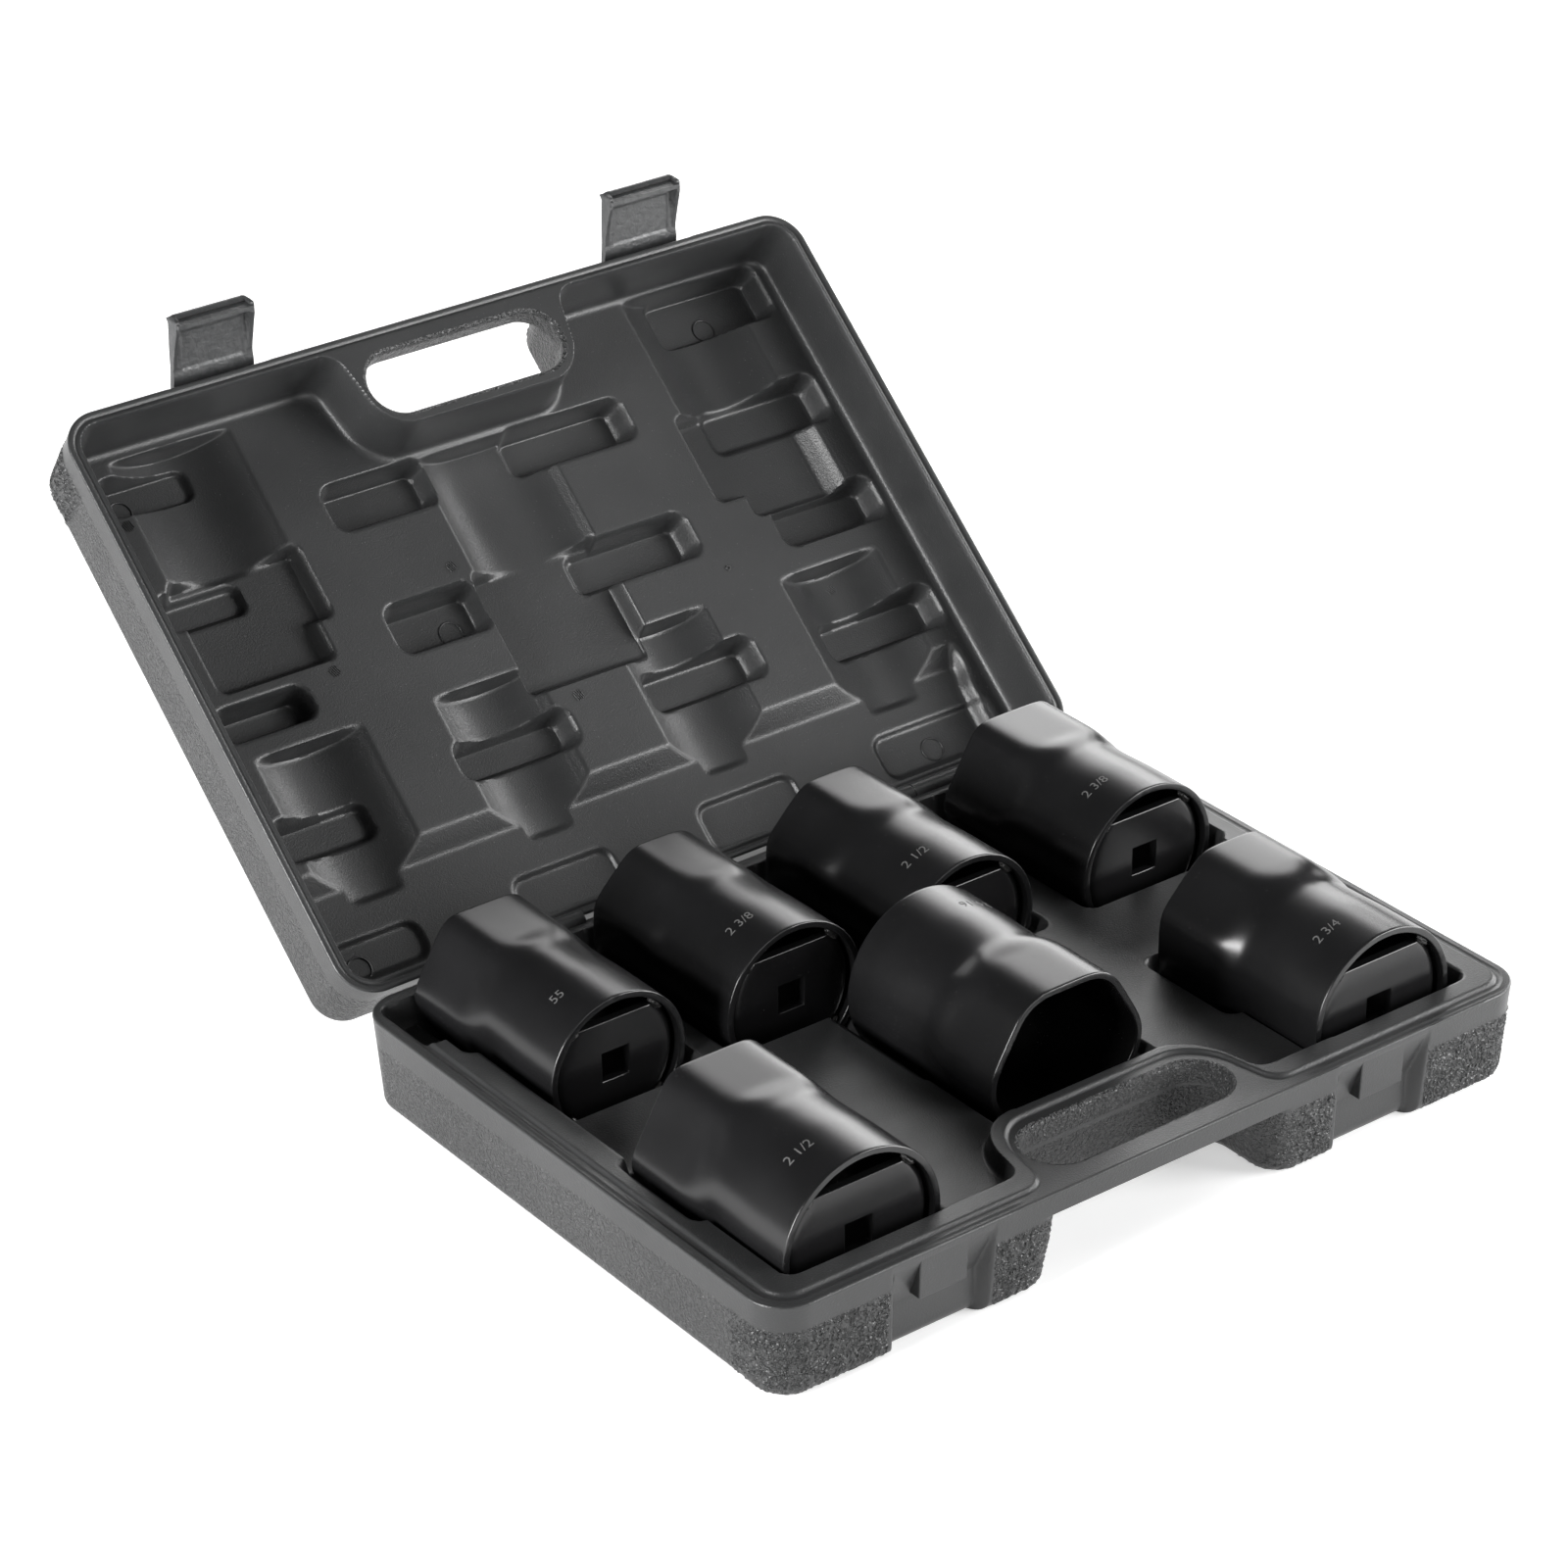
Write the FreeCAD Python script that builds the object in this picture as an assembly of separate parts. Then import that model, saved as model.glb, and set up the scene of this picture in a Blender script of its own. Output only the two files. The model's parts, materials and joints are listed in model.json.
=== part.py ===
"""Socket wrench set in a blow-moulded carry case, shown open.

Frame: origin at the centre of the base's underside, +Z up, +X along the long side,
handle and latches towards -Y, hinge towards +Y. Millimetres.
The lid and latches are drawn closed and then turned to the open rest pose.
"""
import FreeCAD, Part
import math
import os

V = FreeCAD.Vector
os.makedirs("parts", exist_ok=True)

# ---- case ------------------------------------------------------------------
CASE_X = 380.0            # outer length at the rims
CASE_Y = 275.0            # outer depth at the rims
BASE_H = 43.0             # base height, which is also the parting plane
LID_H = 42.5              # lid height above the parting plane
CORNER_R = 17.0           # plan radius of the rim corners
DRAFT_IN = 3.3            # how far the walls lean in from rim to floor
EDGE_R = 5.0              # rounding where walls meet the floor
SKIN = 2.0                # thickness of each moulded skin

DECK_Z = 36.0             # top of the base's inner deck
DECK_X = 171.0            # half length of the deck opening
DECK_FRONT = -120.6
DECK_BACK = 130.2
STRIP_TOP = 44.5          # raised strip that nests inside the lid
STRIP_IN = 6.3            # distance of the strip from the rim's edge
LID_WALL = 5.9            # lid wall thickness at the rim
LID_DECK = 71.5           # lid's inner deck, closed position
BAND_TOP = 79.2           # deeper band over the back row's shaped ends
DECK_R = 9.0              # plan radius of the deck's corners
OVERRUN = 5.0             # how far cutting tools run past the faces they open
POCKET_R = 4.0            # plan radius of the corners of cradles and recesses
POCKET_SIDE = 14.0        # a cradle's straight side ends this far below the sockets' axis
REST_GAP = 0.3            # gap under a socket's lowest flat
GRIP_WRAP = 5.0           # solid plastic kept round the handle

# ---- handle ----------------------------------------------------------------
SLOT_HALF = 49.0          # half length of the finger slot
SLOT_R = 14.5             # radius of its ends
SLOT_Y = -110.9           # its centre line
GRIP_H = 10.0             # thickness of each grip bar
NOTCH_TOP_X = 50.5        # half width of the notch at the grip
NOTCH_END_X = 56.0        # half width of the notch at the floor
NOTCH_BACK = -96.4
NOTCH_LEAN = 3.0          # how far the notch's back wall leans in
NOTCH_R = 13.0            # rounding of the blocks beside the notch
BULGE_Y = -89.0           # lid's inner wall behind the handle
BULGE_X = 40.0
BULGE_FOOT_X = 60.0
BULGE_FOOT_Y = -106.0
NEST_GAP = 0.4            # gap between the base's strip and the lid's wall

# ---- hinge -----------------------------------------------------------------
HINGE_Y = CASE_Y / 2 + 1.2
HINGE_Z = BASE_H
OPEN_DEG = 139.0          # lid angle at its open stop
KNUCKLE_R = 4.0
KNUCKLE_HALF = 15.0       # half length of a base knuckle
LEAF_LEN = 15.4           # length of a lid knuckle
HINGE_X = 110.0           # centres of the two hinge sets
KNUCKLE_GAP = 0.5
WEB_Y = 134.5             # where a knuckle's web meets the wall
WEB_DROP = 9.8            # how far the web reaches down the wall
HINGE_BLOCK_X = 145.0     # solid plastic behind the knuckles
HINGE_BLOCK_Y = 128.5
HINGE_BLOCK_Z = 30.0
HINGE_PIN_R = 1.6
FIT = 0.05                # radial running clearance

# ---- latches ---------------------------------------------------------------
LATCH_X = 111.0           # centres of the two latches
LATCH_HALF = 22.0
RECESS_HALF = 24.7        # half width of the recess a latch folds into
RECESS_Y = -129.9         # recess floor
RECESS_TOP = 40.0         # where the base's recess starts below the rim
RECESS_FOOT = 20.0        # where its slope ends
LATCH_PIVOT_Y = -135.5
LATCH_PIVOT_Z = 52.0
LATCH_BARREL_R = 2.6
LATCH_PIN_R = 1.2
LID_RECESS_Y = -132.6     # floor of the lid's latch recess
LID_RECESS_Z = 47.5       # where it starts above the parting plane
LATCH_FACE = -138.0       # inner face of the closed latch plate
LATCH_T = 2.6
LATCH_END_Z = 13.5        # free end of the closed latch
CATCH_HALF = 11.4
CATCH_FACE = -135.6
CATCH_Z = 21.5            # underside of the catch
CATCH_TOP = 35.4          # where its face runs out on the recess's slope
LIP_Y = -133.0            # how far the latch's lip reaches under the catch
LIP_LOW = 18.5            # the lip's edge, lowest and highest
LIP_HIGH = 20.9
FLANGE_START = 38.0       # where a latch's side flanges begin, down to FLANGE_END
FLANGE_END = 16.0
RIDGE_OUT = 2.0           # finger ridge on the free end
RIDGE_TALL = 4.4
LATCH_SWING = 40.0        # latch angle away from closed, at rest
LATCH_PIN_GRIP = 6.0      # how far a latch pin runs into the lid at each end
FLANGE_T = 2.2            # thickness of a latch's side flanges

# ---- sockets ---------------------------------------------------------------
AXIS_Z = 43.5
WALL = 3.0
DRIVE = 12.7              # square drive
PLATE_T = 4.0
PLATE_LEG = 16.0          # how far the plate's bent ends run along the wall
SHAPED_LEN = 25.0         # length of the formed flats
NECK_LEN = 18.0           # length of the blend to the round end
CLEAR = 0.5

# name: (sides, centre x, round end y, shaped end y, tube radius, across flats, corner radius)
SOCKETS = {
    "socket_55mm": (6, -134.0, 35.5, 129.0, 32.1, 61.7, 7.0),
    "socket_2_3_8_eight": (8, -49.0, 33.6, 126.0, 33.5, 66.4, 6.0),
    "socket_2_1_2_eight": (8, 39.3, 31.7, 124.0, 34.0, 69.0, 6.0),
    "socket_2_3_8_six": (6, 135.4, 30.9, 121.0, 34.7, 67.6, 7.0),
    "socket_2_9_16_six": (6, 4.3, 21.4, -70.8, 36.6, 72.6, 16.0),
    "socket_2_3_4_eight": (8, 128.3, -117.7, -25.6, 35.9, 74.6, 6.0),
    "socket_2_1_2_six": (6, -133.3, -116.5, -24.3, 36.9, 70.0, 7.0),
}

# base pockets: socket, x from, x to, y from, y to
POCKETS = [
    ("socket_55mm", -170.5, -98.3, 25.0, DECK_BACK),
    ("socket_2_3_8_eight", -85.7, -12.3, 25.0, DECK_BACK),
    ("socket_2_1_2_eight", 1.6, 77.0, 25.0, DECK_BACK),
    ("socket_2_3_8_six", 96.6, 174.0, 25.0, DECK_BACK),
    ("socket_2_9_16_six", -38.5, 46.0, -84.0, 26.0),
    ("socket_2_3_4_eight", 87.5, 170.5, DECK_FRONT, -21.5),
    ("socket_2_1_2_six", -174.0, -92.5, DECK_FRONT, -21.0),
]

# lid recesses over the sockets: x from, x to, y from, y to, floor height when closed
LID_BOXES = [
    (-172.0, 167.0, 81.7, 130.5, BAND_TOP),
    (-31.4, 36.5, -85.5, 32.3, 82.0),
    (-163.4, -99.8, -64.6, -18.0, 81.3),
    (99.8, 165.3, -67.5, -19.0, 82.2),
]
# lid recesses that follow a socket's round end: socket, y from, y to
LID_ARCHES = [
    ("socket_55mm", 19.0, 84.0),
    ("socket_2_3_8_eight", 19.0, 84.0),
    ("socket_2_1_2_eight", 19.0, 84.0),
    ("socket_2_3_8_six", 19.0, 84.0),
    ("socket_2_3_4_eight", -126.5, -67.0),
    ("socket_2_1_2_six", -124.5, -64.0),
]
ARCH_GAP = 1.3
FINGER_Z = 81.2           # floor of the finger slots
FINGER_R = 6.0
# finger slots in the lid: x from, x to, y from, y to
FINGERS = [
    (-78.0, -26.5, -86.0, -64.0),
    (15.0, 78.0, -86.0, -65.0),
    (-78.0, -32.0, -25.5, -3.0),
    (17.0, 79.0, -25.5, -4.0),
    (-79.0, -21.0, 41.0, 59.0),
    (21.0, 79.0, 38.0, 58.0),
    (116.0, 176.5, 43.0, 63.5),
    (121.0, 176.5, -14.0, 6.5),
    (116.0, 176.5, -69.0, -46.0),
    (117.0, 176.5, -127.0, -101.0),
    (-172.0, -124.0, 47.5, 66.5),
    (-172.0, -128.0, -5.5, 9.5),
    (-172.0, -129.0, -61.0, -44.5),
    (-172.0, -126.0, -118.0, -100.0),
]
BLOW_HOLE_R = 1.2         # needle hole left by the moulding
BLOW_HOLE_LID = (86.5, 6.7)
BLOW_HOLE_BASE = (-60.0, -20.0)


# ---- outlines and simple solids ---------------------------------------------
def rounded_outline(x0, x1, y0, y1, r, z):
    """Closed wire of a rectangle with round corners, at height z."""
    corners = [(x1 - r, y0 + r, -90), (x1 - r, y1 - r, 0), (x0 + r, y1 - r, 90), (x0 + r, y0 + r, 180)]
    arcs = []
    for cx, cy, start in corners:
        pts = []
        for turn in (0, 45, 90):
            a = math.radians(start + turn)
            pts.append(V(cx + r * math.cos(a), cy + r * math.sin(a), z))
        arcs.append(Part.Arc(*pts).toShape())
    edges = []
    for i, arc in enumerate(arcs):
        following = arcs[(i + 1) % 4]
        edges.append(arc)
        edges.append(Part.LineSegment(arc.Vertexes[-1].Point, following.Vertexes[0].Point).toShape())
    return Part.Wire(edges)


def rounded_block(x0, x1, y0, y1, z0, z1, r):
    """Upright block with round vertical edges."""
    face = Part.Face(rounded_outline(x0, x1, y0, y1, r, z0))
    return face.extrude(V(0, 0, z1 - z0))


def box(x0, x1, y0, y1, z0, z1):
    return Part.makeBox(x1 - x0, y1 - y0, z1 - z0, V(x0, y0, z0))


def prism_x(points, x0, x1):
    """Solid with a polygon section given as (y, z) points, running along X."""
    wire = Part.makePolygon([V(x0, y, z) for y, z in points + points[:1]])
    return Part.Face(wire).extrude(V(x1 - x0, 0, 0))


def plate_z(points, z0, z1):
    """Solid with a polygon plan given as (x, y) points."""
    wire = Part.makePolygon([V(x, y, z0) for x, y in points + points[:1]])
    return Part.Face(wire).extrude(V(0, 0, z1 - z0))


def rod_x(r, x0, x1, y, z):
    return Part.makeCylinder(r, x1 - x0, V(x0, y, z), V(1, 0, 0))


def rod_y(r, y0, y1, x, z):
    return Part.makeCylinder(r, y1 - y0, V(x, y0, z), V(0, 1, 0))


def flip(shape):
    """Mirror a base-side shape to the lid side of the parting plane."""
    return shape.mirror(V(0, 0, BASE_H), V(0, 0, 1))


# ---- case shell shapes shared by both halves ---------------------------------
def outer_body(height, inset):
    """Drafted outer body standing on z = 0, shrunk by inset on every wall."""
    def outline(z):
        lean = DRAFT_IN * (1 - z / height) + inset
        x = CASE_X / 2 - lean
        y = CASE_Y / 2 - lean
        return rounded_outline(-x, x, -y, y, CORNER_R - lean, z)
    return Part.makeLoft([outline(inset), outline(height)], True, True)


def notch_outline(z, height, grow):
    """Plan of the notch under the grip, at height z above the floor."""
    up = z / (height - GRIP_H)
    half = NOTCH_END_X + (NOTCH_TOP_X - NOTCH_END_X) * up + grow
    front = -CASE_Y / 2 + DRAFT_IN * (1 - z / height) + grow
    back = NOTCH_BACK + NOTCH_LEAN * (1 - up) + grow
    out = -CASE_Y / 2 - 3 * OVERRUN
    r = NOTCH_R - grow
    c = math.sqrt(0.5)
    edges = []

    def line(a, b):
        edges.append(Part.LineSegment(V(*a, z), V(*b, z)).toShape())

    def arc(a, m, b):
        edges.append(Part.Arc(V(*a, z), V(*m, z), V(*b, z)).toShape())

    line((half + r, out), (half + r, front))
    arc((half + r, front), (half + r - r * c, front + r - r * c), (half, front + r))
    line((half, front + r), (half, back - SLOT_R))
    arc((half, back - SLOT_R), (half - SLOT_R + SLOT_R * c, back - SLOT_R + SLOT_R * c),
        (half - SLOT_R, back))
    line((half - SLOT_R, back), (-half + SLOT_R, back))
    arc((-half + SLOT_R, back), (-half + SLOT_R - SLOT_R * c, back - SLOT_R + SLOT_R * c),
        (-half, back - SLOT_R))
    line((-half, back - SLOT_R), (-half, front + r))
    arc((-half, front + r), (-half - r + r * c, front + r - r * c), (-half - r, front))
    line((-half - r, front), (-half - r, out))
    line((-half - r, out), (half + r, out))
    return Part.Wire(edges)


def notch(height, grow):
    """Open space under the grip bar, measured from the floor of a half."""
    top = height - GRIP_H + grow
    return Part.makeLoft([notch_outline(-1.0, height, grow), notch_outline(top, height, grow)], True, True)


def finger_slot(z0, z1, grow):
    r = SLOT_R + grow - 0.01
    return rounded_block(-SLOT_HALF - grow, SLOT_HALF + grow, SLOT_Y - r - 0.01, SLOT_Y + r + 0.01, z0, z1, r)


def bulge(z0, z1, grow):
    """Block of the case that wraps the handle from inside."""
    front = -CASE_Y / 2 - 1
    return plate_z([(-BULGE_FOOT_X - grow, front), (-BULGE_FOOT_X - grow, BULGE_FOOT_Y + grow / 2),
                    (-BULGE_X - grow / 2, BULGE_Y + grow), (BULGE_X + grow / 2, BULGE_Y + grow),
                    (BULGE_FOOT_X + grow, BULGE_FOOT_Y + grow / 2), (BULGE_FOOT_X + grow, front)], z0, z1)


def knuckle(x0, x1):
    """Base-side hinge knuckle with the web that carries it on the wall."""
    c = KNUCKLE_R * math.sqrt(0.5)
    web = prism_x([(WEB_Y, HINGE_Z - WEB_DROP), (HINGE_Y + c, HINGE_Z - c), (HINGE_Y, HINGE_Z),
                   (WEB_Y, HINGE_Z)], x0, x1)
    return rod_x(KNUCKLE_R, x0, x1, HINGE_Y, HINGE_Z).fuse(web)


def hinge_layout():
    """Spans along X of the base knuckles and of the lid knuckles."""
    base_spans = []
    lid_spans = []
    for side in (-1, 1):
        c = side * HINGE_X
        inner = KNUCKLE_HALF + KNUCKLE_GAP
        base_spans.append((c - KNUCKLE_HALF, c + KNUCKLE_HALF))
        lid_spans.append((c - inner - LEAF_LEN, c - inner))
        lid_spans.append((c + inner, c + inner + LEAF_LEN))
    return base_spans, lid_spans


def add_hinge(half, own_spans, other_spans, flipped):
    """Fuse a half's own knuckles, clear the other half's, and bore for the pins."""
    for x0, x1 in other_spans:
        half = half.cut(rod_x(KNUCKLE_R + KNUCKLE_GAP, x0 - KNUCKLE_GAP, x1 + KNUCKLE_GAP, HINGE_Y, HINGE_Z))
    for x0, x1 in own_spans:
        piece = knuckle(x0, x1)
        half = half.fuse(flip(piece) if flipped else piece)
    for side in (-1, 1):
        reach = KNUCKLE_HALF + LEAF_LEN + 2
        c = side * HINGE_X
        half = half.cut(rod_x(HINGE_PIN_R + FIT, c - reach, c + reach, HINGE_Y, HINGE_Z))
    return half


# ---- base --------------------------------------------------------------------
def socket_reach(name):
    """Largest radius of a socket about its axis, and how far it hangs below the axis."""
    sides, _, _, _, radius, flats, corner = SOCKETS[name]
    half = flats / 2
    tip = (half - corner) / math.cos(math.pi / sides) + corner
    return max(radius, tip), max(radius, half)


def pocket(entry, grow):
    """Cradle below the deck: straight sides, round bottom, flat where the socket rests."""
    name, x0, x1, y0, y1 = entry
    centre = SOCKETS[name][1]
    reach, drop = socket_reach(name)
    floor = AXIS_Z - drop - REST_GAP - grow
    wide = rounded_block(x0 - grow, x1 + grow, y0 - grow, y1 + grow,
                         AXIS_Z - POCKET_SIDE, STRIP_TOP + OVERRUN, POCKET_R + grow)
    cradle = rod_y(reach + CLEAR + grow, y0 - grow, y1 + grow, centre, AXIS_Z)
    limit = box(x0 - grow, x1 + grow, y0 - grow, y1 + grow, floor, STRIP_TOP + OVERRUN)
    return wide.fuse(cradle.common(limit))


def latch_recess(cx, grow):
    slope = (RECESS_TOP - RECESS_FOOT) / (RECESS_Y + CASE_Y / 2)
    out = -CASE_Y / 2 - OVERRUN
    points = [(out, RECESS_TOP + OVERRUN * slope + grow), (RECESS_Y + grow, RECESS_FOOT + grow),
              (RECESS_Y + grow, -1.0), (out, -1.0)]
    return prism_x(points, cx - RECESS_HALF - grow, cx + RECESS_HALF + grow)


def catch(cx):
    points = [(CATCH_FACE, CATCH_Z), (CATCH_FACE, CATCH_TOP), (CATCH_FACE + 1, CATCH_TOP),
              (RECESS_Y + 0.5, CATCH_Z)]
    return prism_x(points, cx - CATCH_HALF, cx + CATCH_HALF)


def base_tray_region(grow):
    """Deck opening and cradles of the base, grown outwards by the thickness of a skin."""
    region = rounded_block(-DECK_X - grow, DECK_X + grow, DECK_FRONT - grow, DECK_BACK + grow,
                           DECK_Z - grow, STRIP_TOP + OVERRUN, DECK_R + grow)
    region = region.cut(bulge(DECK_Z - grow - 1, STRIP_TOP + OVERRUN + 1, GRIP_WRAP - grow))
    for entry in POCKETS:
        region = region.fuse(pocket(entry, grow))
    return region


def base_halves():
    """Outer shell and inner tray of the base."""
    body = outer_body(BASE_H, 0.0)
    floor_edges = [e for e in body.Edges if e.BoundBox.ZMax < 0.01]
    body = body.makeFillet(EDGE_R, floor_edges)

    rim = CASE_X / 2 - STRIP_IN
    strip = rounded_block(-rim, rim, -CASE_Y / 2 + STRIP_IN, CASE_Y / 2 - STRIP_IN,
                          BASE_H - 1, STRIP_TOP, CORNER_R - STRIP_IN)
    strip = strip.cut(bulge(BASE_H - 2, STRIP_TOP + 1, NEST_GAP))
    body = body.fuse(strip).cut(base_tray_region(0.0))
    skin_region = base_tray_region(SKIN)
    tray = body.common(skin_region)

    hollow = outer_body(BASE_H, SKIN).cut(box(-CASE_X, CASE_X, -CASE_Y, CASE_Y, BASE_H - SKIN, BASE_H + 1))
    hollow = hollow.cut(notch(BASE_H, SKIN))
    hollow = hollow.cut(finger_slot(BASE_H - GRIP_H, BASE_H + 1, SKIN))
    hollow = hollow.cut(box(-HINGE_BLOCK_X, HINGE_BLOCK_X, HINGE_BLOCK_Y, CASE_Y, HINGE_BLOCK_Z, BASE_H))
    for side in (-1, 1):
        hollow = hollow.cut(latch_recess(side * LATCH_X, SKIN))
    hollow = hollow.fuse(Part.makeCylinder(BLOW_HOLE_R, SKIN + 1.5, V(*BLOW_HOLE_BASE, -0.5)))

    shell = body.cut(skin_region).cut(notch(BASE_H, 0.0))
    shell = shell.cut(finger_slot(BASE_H - GRIP_H - 1, STRIP_TOP + 1, 0.0))
    for side in (-1, 1):
        shell = shell.cut(latch_recess(side * LATCH_X, 0.0))
        shell = shell.fuse(catch(side * LATCH_X))
    shell = shell.cut(hollow)
    base_spans, lid_spans = hinge_layout()
    return add_hinge(shell, base_spans, lid_spans, False), tray


# ---- lid (drawn closed) --------------------------------------------------------
def lid_recesses(grow):
    cuts = []
    for x0, x1, y0, y1, z in LID_BOXES:
        cuts.append(rounded_block(x0 - grow, x1 + grow, y0 - grow, y1 + grow,
                                  LID_DECK - 1, z + grow, POCKET_R + grow))
    for name, y0, y1 in LID_ARCHES:
        centre, radius = SOCKETS[name][1], SOCKETS[name][4]
        arch = rod_y(radius + ARCH_GAP + grow, y0 - grow, y1 + grow, centre, AXIS_Z)
        above_deck = box(-CASE_X, CASE_X, y0 - grow, y1 + grow, LID_DECK - 1, BASE_H + LID_H)
        cuts.append(arch.common(above_deck))
    for x0, x1, y0, y1 in FINGERS:
        cuts.append(rounded_block(x0 - grow, x1 + grow, y0 - grow, y1 + grow, LID_DECK - 1,
                                  FINGER_Z + grow, FINGER_R + grow))
    return cuts


def lid_latch_recess(cx):
    return box(cx - RECESS_HALF, cx + RECESS_HALF, -CASE_Y / 2 - OVERRUN, LID_RECESS_Y,
               LID_RECESS_Z, BASE_H + LID_H + OVERRUN)


def lid_tray_region(grow):
    """Cavity and recesses of the lid, grown by a skin but kept inside the outer skin."""
    wall = LID_WALL - grow
    x, y = CASE_X / 2 - wall, CASE_Y / 2 - wall
    region = rounded_block(-x, x, -y, y, BASE_H - 1, LID_DECK + grow, CORNER_R - wall)
    region = region.cut(bulge(BASE_H - 2, LID_DECK + grow + 1, -grow))
    for piece in lid_recesses(grow):
        region = region.fuse(piece)
    return region.common(box(-CASE_X, CASE_X, -CASE_Y, CASE_Y, 0, BASE_H + LID_H - SKIN))


def lid_halves():
    """Outer shell and inner tray of the lid."""
    top = BASE_H + LID_H
    body = outer_body(LID_H, 0.0)
    floor_edges = [e for e in body.Edges if e.BoundBox.ZMax < 0.01]
    body = body.makeFillet(EDGE_R, floor_edges)
    lift = V(0, 0, BASE_H - LID_H)
    body.translate(lift)
    body = flip(body).cut(lid_tray_region(0.0))
    skin_region = lid_tray_region(SKIN)
    needle_hole = Part.makeCylinder(BLOW_HOLE_R, SKIN + 2, V(*BLOW_HOLE_LID, LID_DECK - 1))
    tray = body.common(skin_region).cut(needle_hole)

    inset = EDGE_R + GRIP_WRAP - 1
    hollow = rounded_block(-CASE_X / 2 + inset, CASE_X / 2 - inset, -CASE_Y / 2 + inset, CASE_Y / 2 - inset,
                           LID_DECK + SKIN, top - SKIN, CORNER_R - inset)
    hollow = hollow.cut(bulge(LID_DECK, top, GRIP_WRAP))

    lid_notch = notch(LID_H, 0.0)
    lid_notch.translate(lift)
    shell = body.cut(skin_region).cut(hollow).cut(flip(lid_notch))
    shell = shell.cut(finger_slot(BASE_H - 1, BASE_H + GRIP_H + 1, 0.0))
    reach = RECESS_HALF + LATCH_PIN_GRIP
    for side in (-1, 1):
        cx = side * LATCH_X
        tray = tray.cut(lid_latch_recess(cx))
        shell = shell.cut(lid_latch_recess(cx))
        shell = shell.cut(rod_x(LATCH_PIN_R + FIT, cx - reach - 0.2, cx + reach + 0.2,
                                LATCH_PIVOT_Y, LATCH_PIVOT_Z))
    base_spans, lid_spans = hinge_layout()
    return add_hinge(shell, lid_spans, base_spans, True), tray


# ---- latches (drawn closed) ----------------------------------------------------
def latch(cx):
    outer = LATCH_FACE - LATCH_T
    x0, x1 = cx - LATCH_HALF, cx + LATCH_HALF
    plate = box(x0, x1, outer, LATCH_FACE, LATCH_END_Z, LATCH_PIVOT_Z - 4)
    neck = prism_x([(outer, LATCH_PIVOT_Z - 4.5), (LATCH_FACE, LATCH_PIVOT_Z - 4.5),
                    (LATCH_PIVOT_Y, LATCH_PIVOT_Z - 1), (LATCH_PIVOT_Y, LATCH_PIVOT_Z + LATCH_BARREL_R),
                    (LATCH_PIVOT_Y - 1.9, LATCH_PIVOT_Z + 1.8)], x0, x1)
    barrel = rod_x(LATCH_BARREL_R, x0, x1, LATCH_PIVOT_Y, LATCH_PIVOT_Z)
    root = LATCH_FACE - 0.5
    lip = prism_x([(root, LIP_LOW - 1.5), (LIP_Y, LIP_LOW), (LIP_Y, LIP_HIGH), (root, LIP_HIGH)], x0, x1)
    ridge = prism_x([(outer, LATCH_END_Z), (outer - RIDGE_OUT, LATCH_END_Z + 0.6),
                     (outer - 0.7 * RIDGE_OUT, LATCH_END_Z + 3.2), (outer, LATCH_END_Z + RIDGE_TALL)], x0, x1)
    body = plate.fuse([neck, barrel, lip, ridge])
    flange = [(root, FLANGE_START), (LIP_Y + 0.2, CATCH_Z + 1), (LIP_Y, LIP_LOW), (root, FLANGE_END)]
    for a, b in ((x0, x0 + FLANGE_T), (x1 - FLANGE_T, x1)):
        body = body.fuse(prism_x(flange, a, b))
    return body.cut(rod_x(LATCH_PIN_R + FIT, x0 - 1, x1 + 1, LATCH_PIVOT_Y, LATCH_PIVOT_Z))


# ---- sockets -------------------------------------------------------------------
def point_at(angle, r, centre, y):
    return V(centre + r * math.sin(angle), y, AXIS_Z + r * math.cos(angle))


def polygon_section(sides, half, corner, centre, y):
    """Regular polygon with a flat on top and round corners, as flats and arcs in turn."""
    step = 2 * math.pi / sides
    edges = []
    inner = half - corner
    for i in range(sides):
        a = i * step
        tip = a + step / 2
        hub = V(centre + inner / math.cos(step / 2) * math.sin(tip), y,
                AXIS_Z + inner / math.cos(step / 2) * math.cos(tip))
        ends = []
        for turn in (a, tip, a + step):
            ends.append(hub + V(corner * math.sin(turn), 0, corner * math.cos(turn)))
        edges.append(Part.Arc(*ends).toShape())
    ring = []
    for i, arc in enumerate(edges):
        following = edges[(i + 1) % sides]
        ring.append(arc)
        ring.append(Part.LineSegment(arc.Vertexes[-1].Point, following.Vertexes[0].Point).toShape())
    return Part.Wire(ring)


def round_section(sides, half, corner, r, centre, y):
    """Circle split at the same bearings as the polygon's flats and corners."""
    step = 2 * math.pi / sides
    reach = math.atan((half - corner) * math.tan(step / 2) / half)
    edges = []
    for i in range(sides):
        a = i * step
        stops = [a + reach, a + step / 2, a + step - reach, a + step, a + step + reach]
        pts = [point_at(s, r, centre, y) for s in stops]
        edges.append(Part.Arc(pts[0], pts[1], pts[2]).toShape())
        edges.append(Part.Arc(pts[2], pts[3], pts[4]).toShape())
    return Part.Wire(edges)


def socket_solid(spec, shrink, extend):
    sides, centre, round_y, shaped_y, radius, flats, corner = spec
    way = 1 if round_y > shaped_y else -1
    half = flats / 2 - shrink
    bend = max(corner - shrink, 1.0)
    end = shaped_y - way * extend
    flat_end = shaped_y + way * SHAPED_LEN
    neck_end = flat_end + way * NECK_LEN
    far = round_y + way * extend
    sections = [polygon_section(sides, half, bend, centre, y) for y in (end, flat_end)]
    sections += [round_section(sides, half, bend, radius - shrink, centre, y) for y in (neck_end, far)]
    return Part.makeLoft(sections, True, True)


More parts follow.
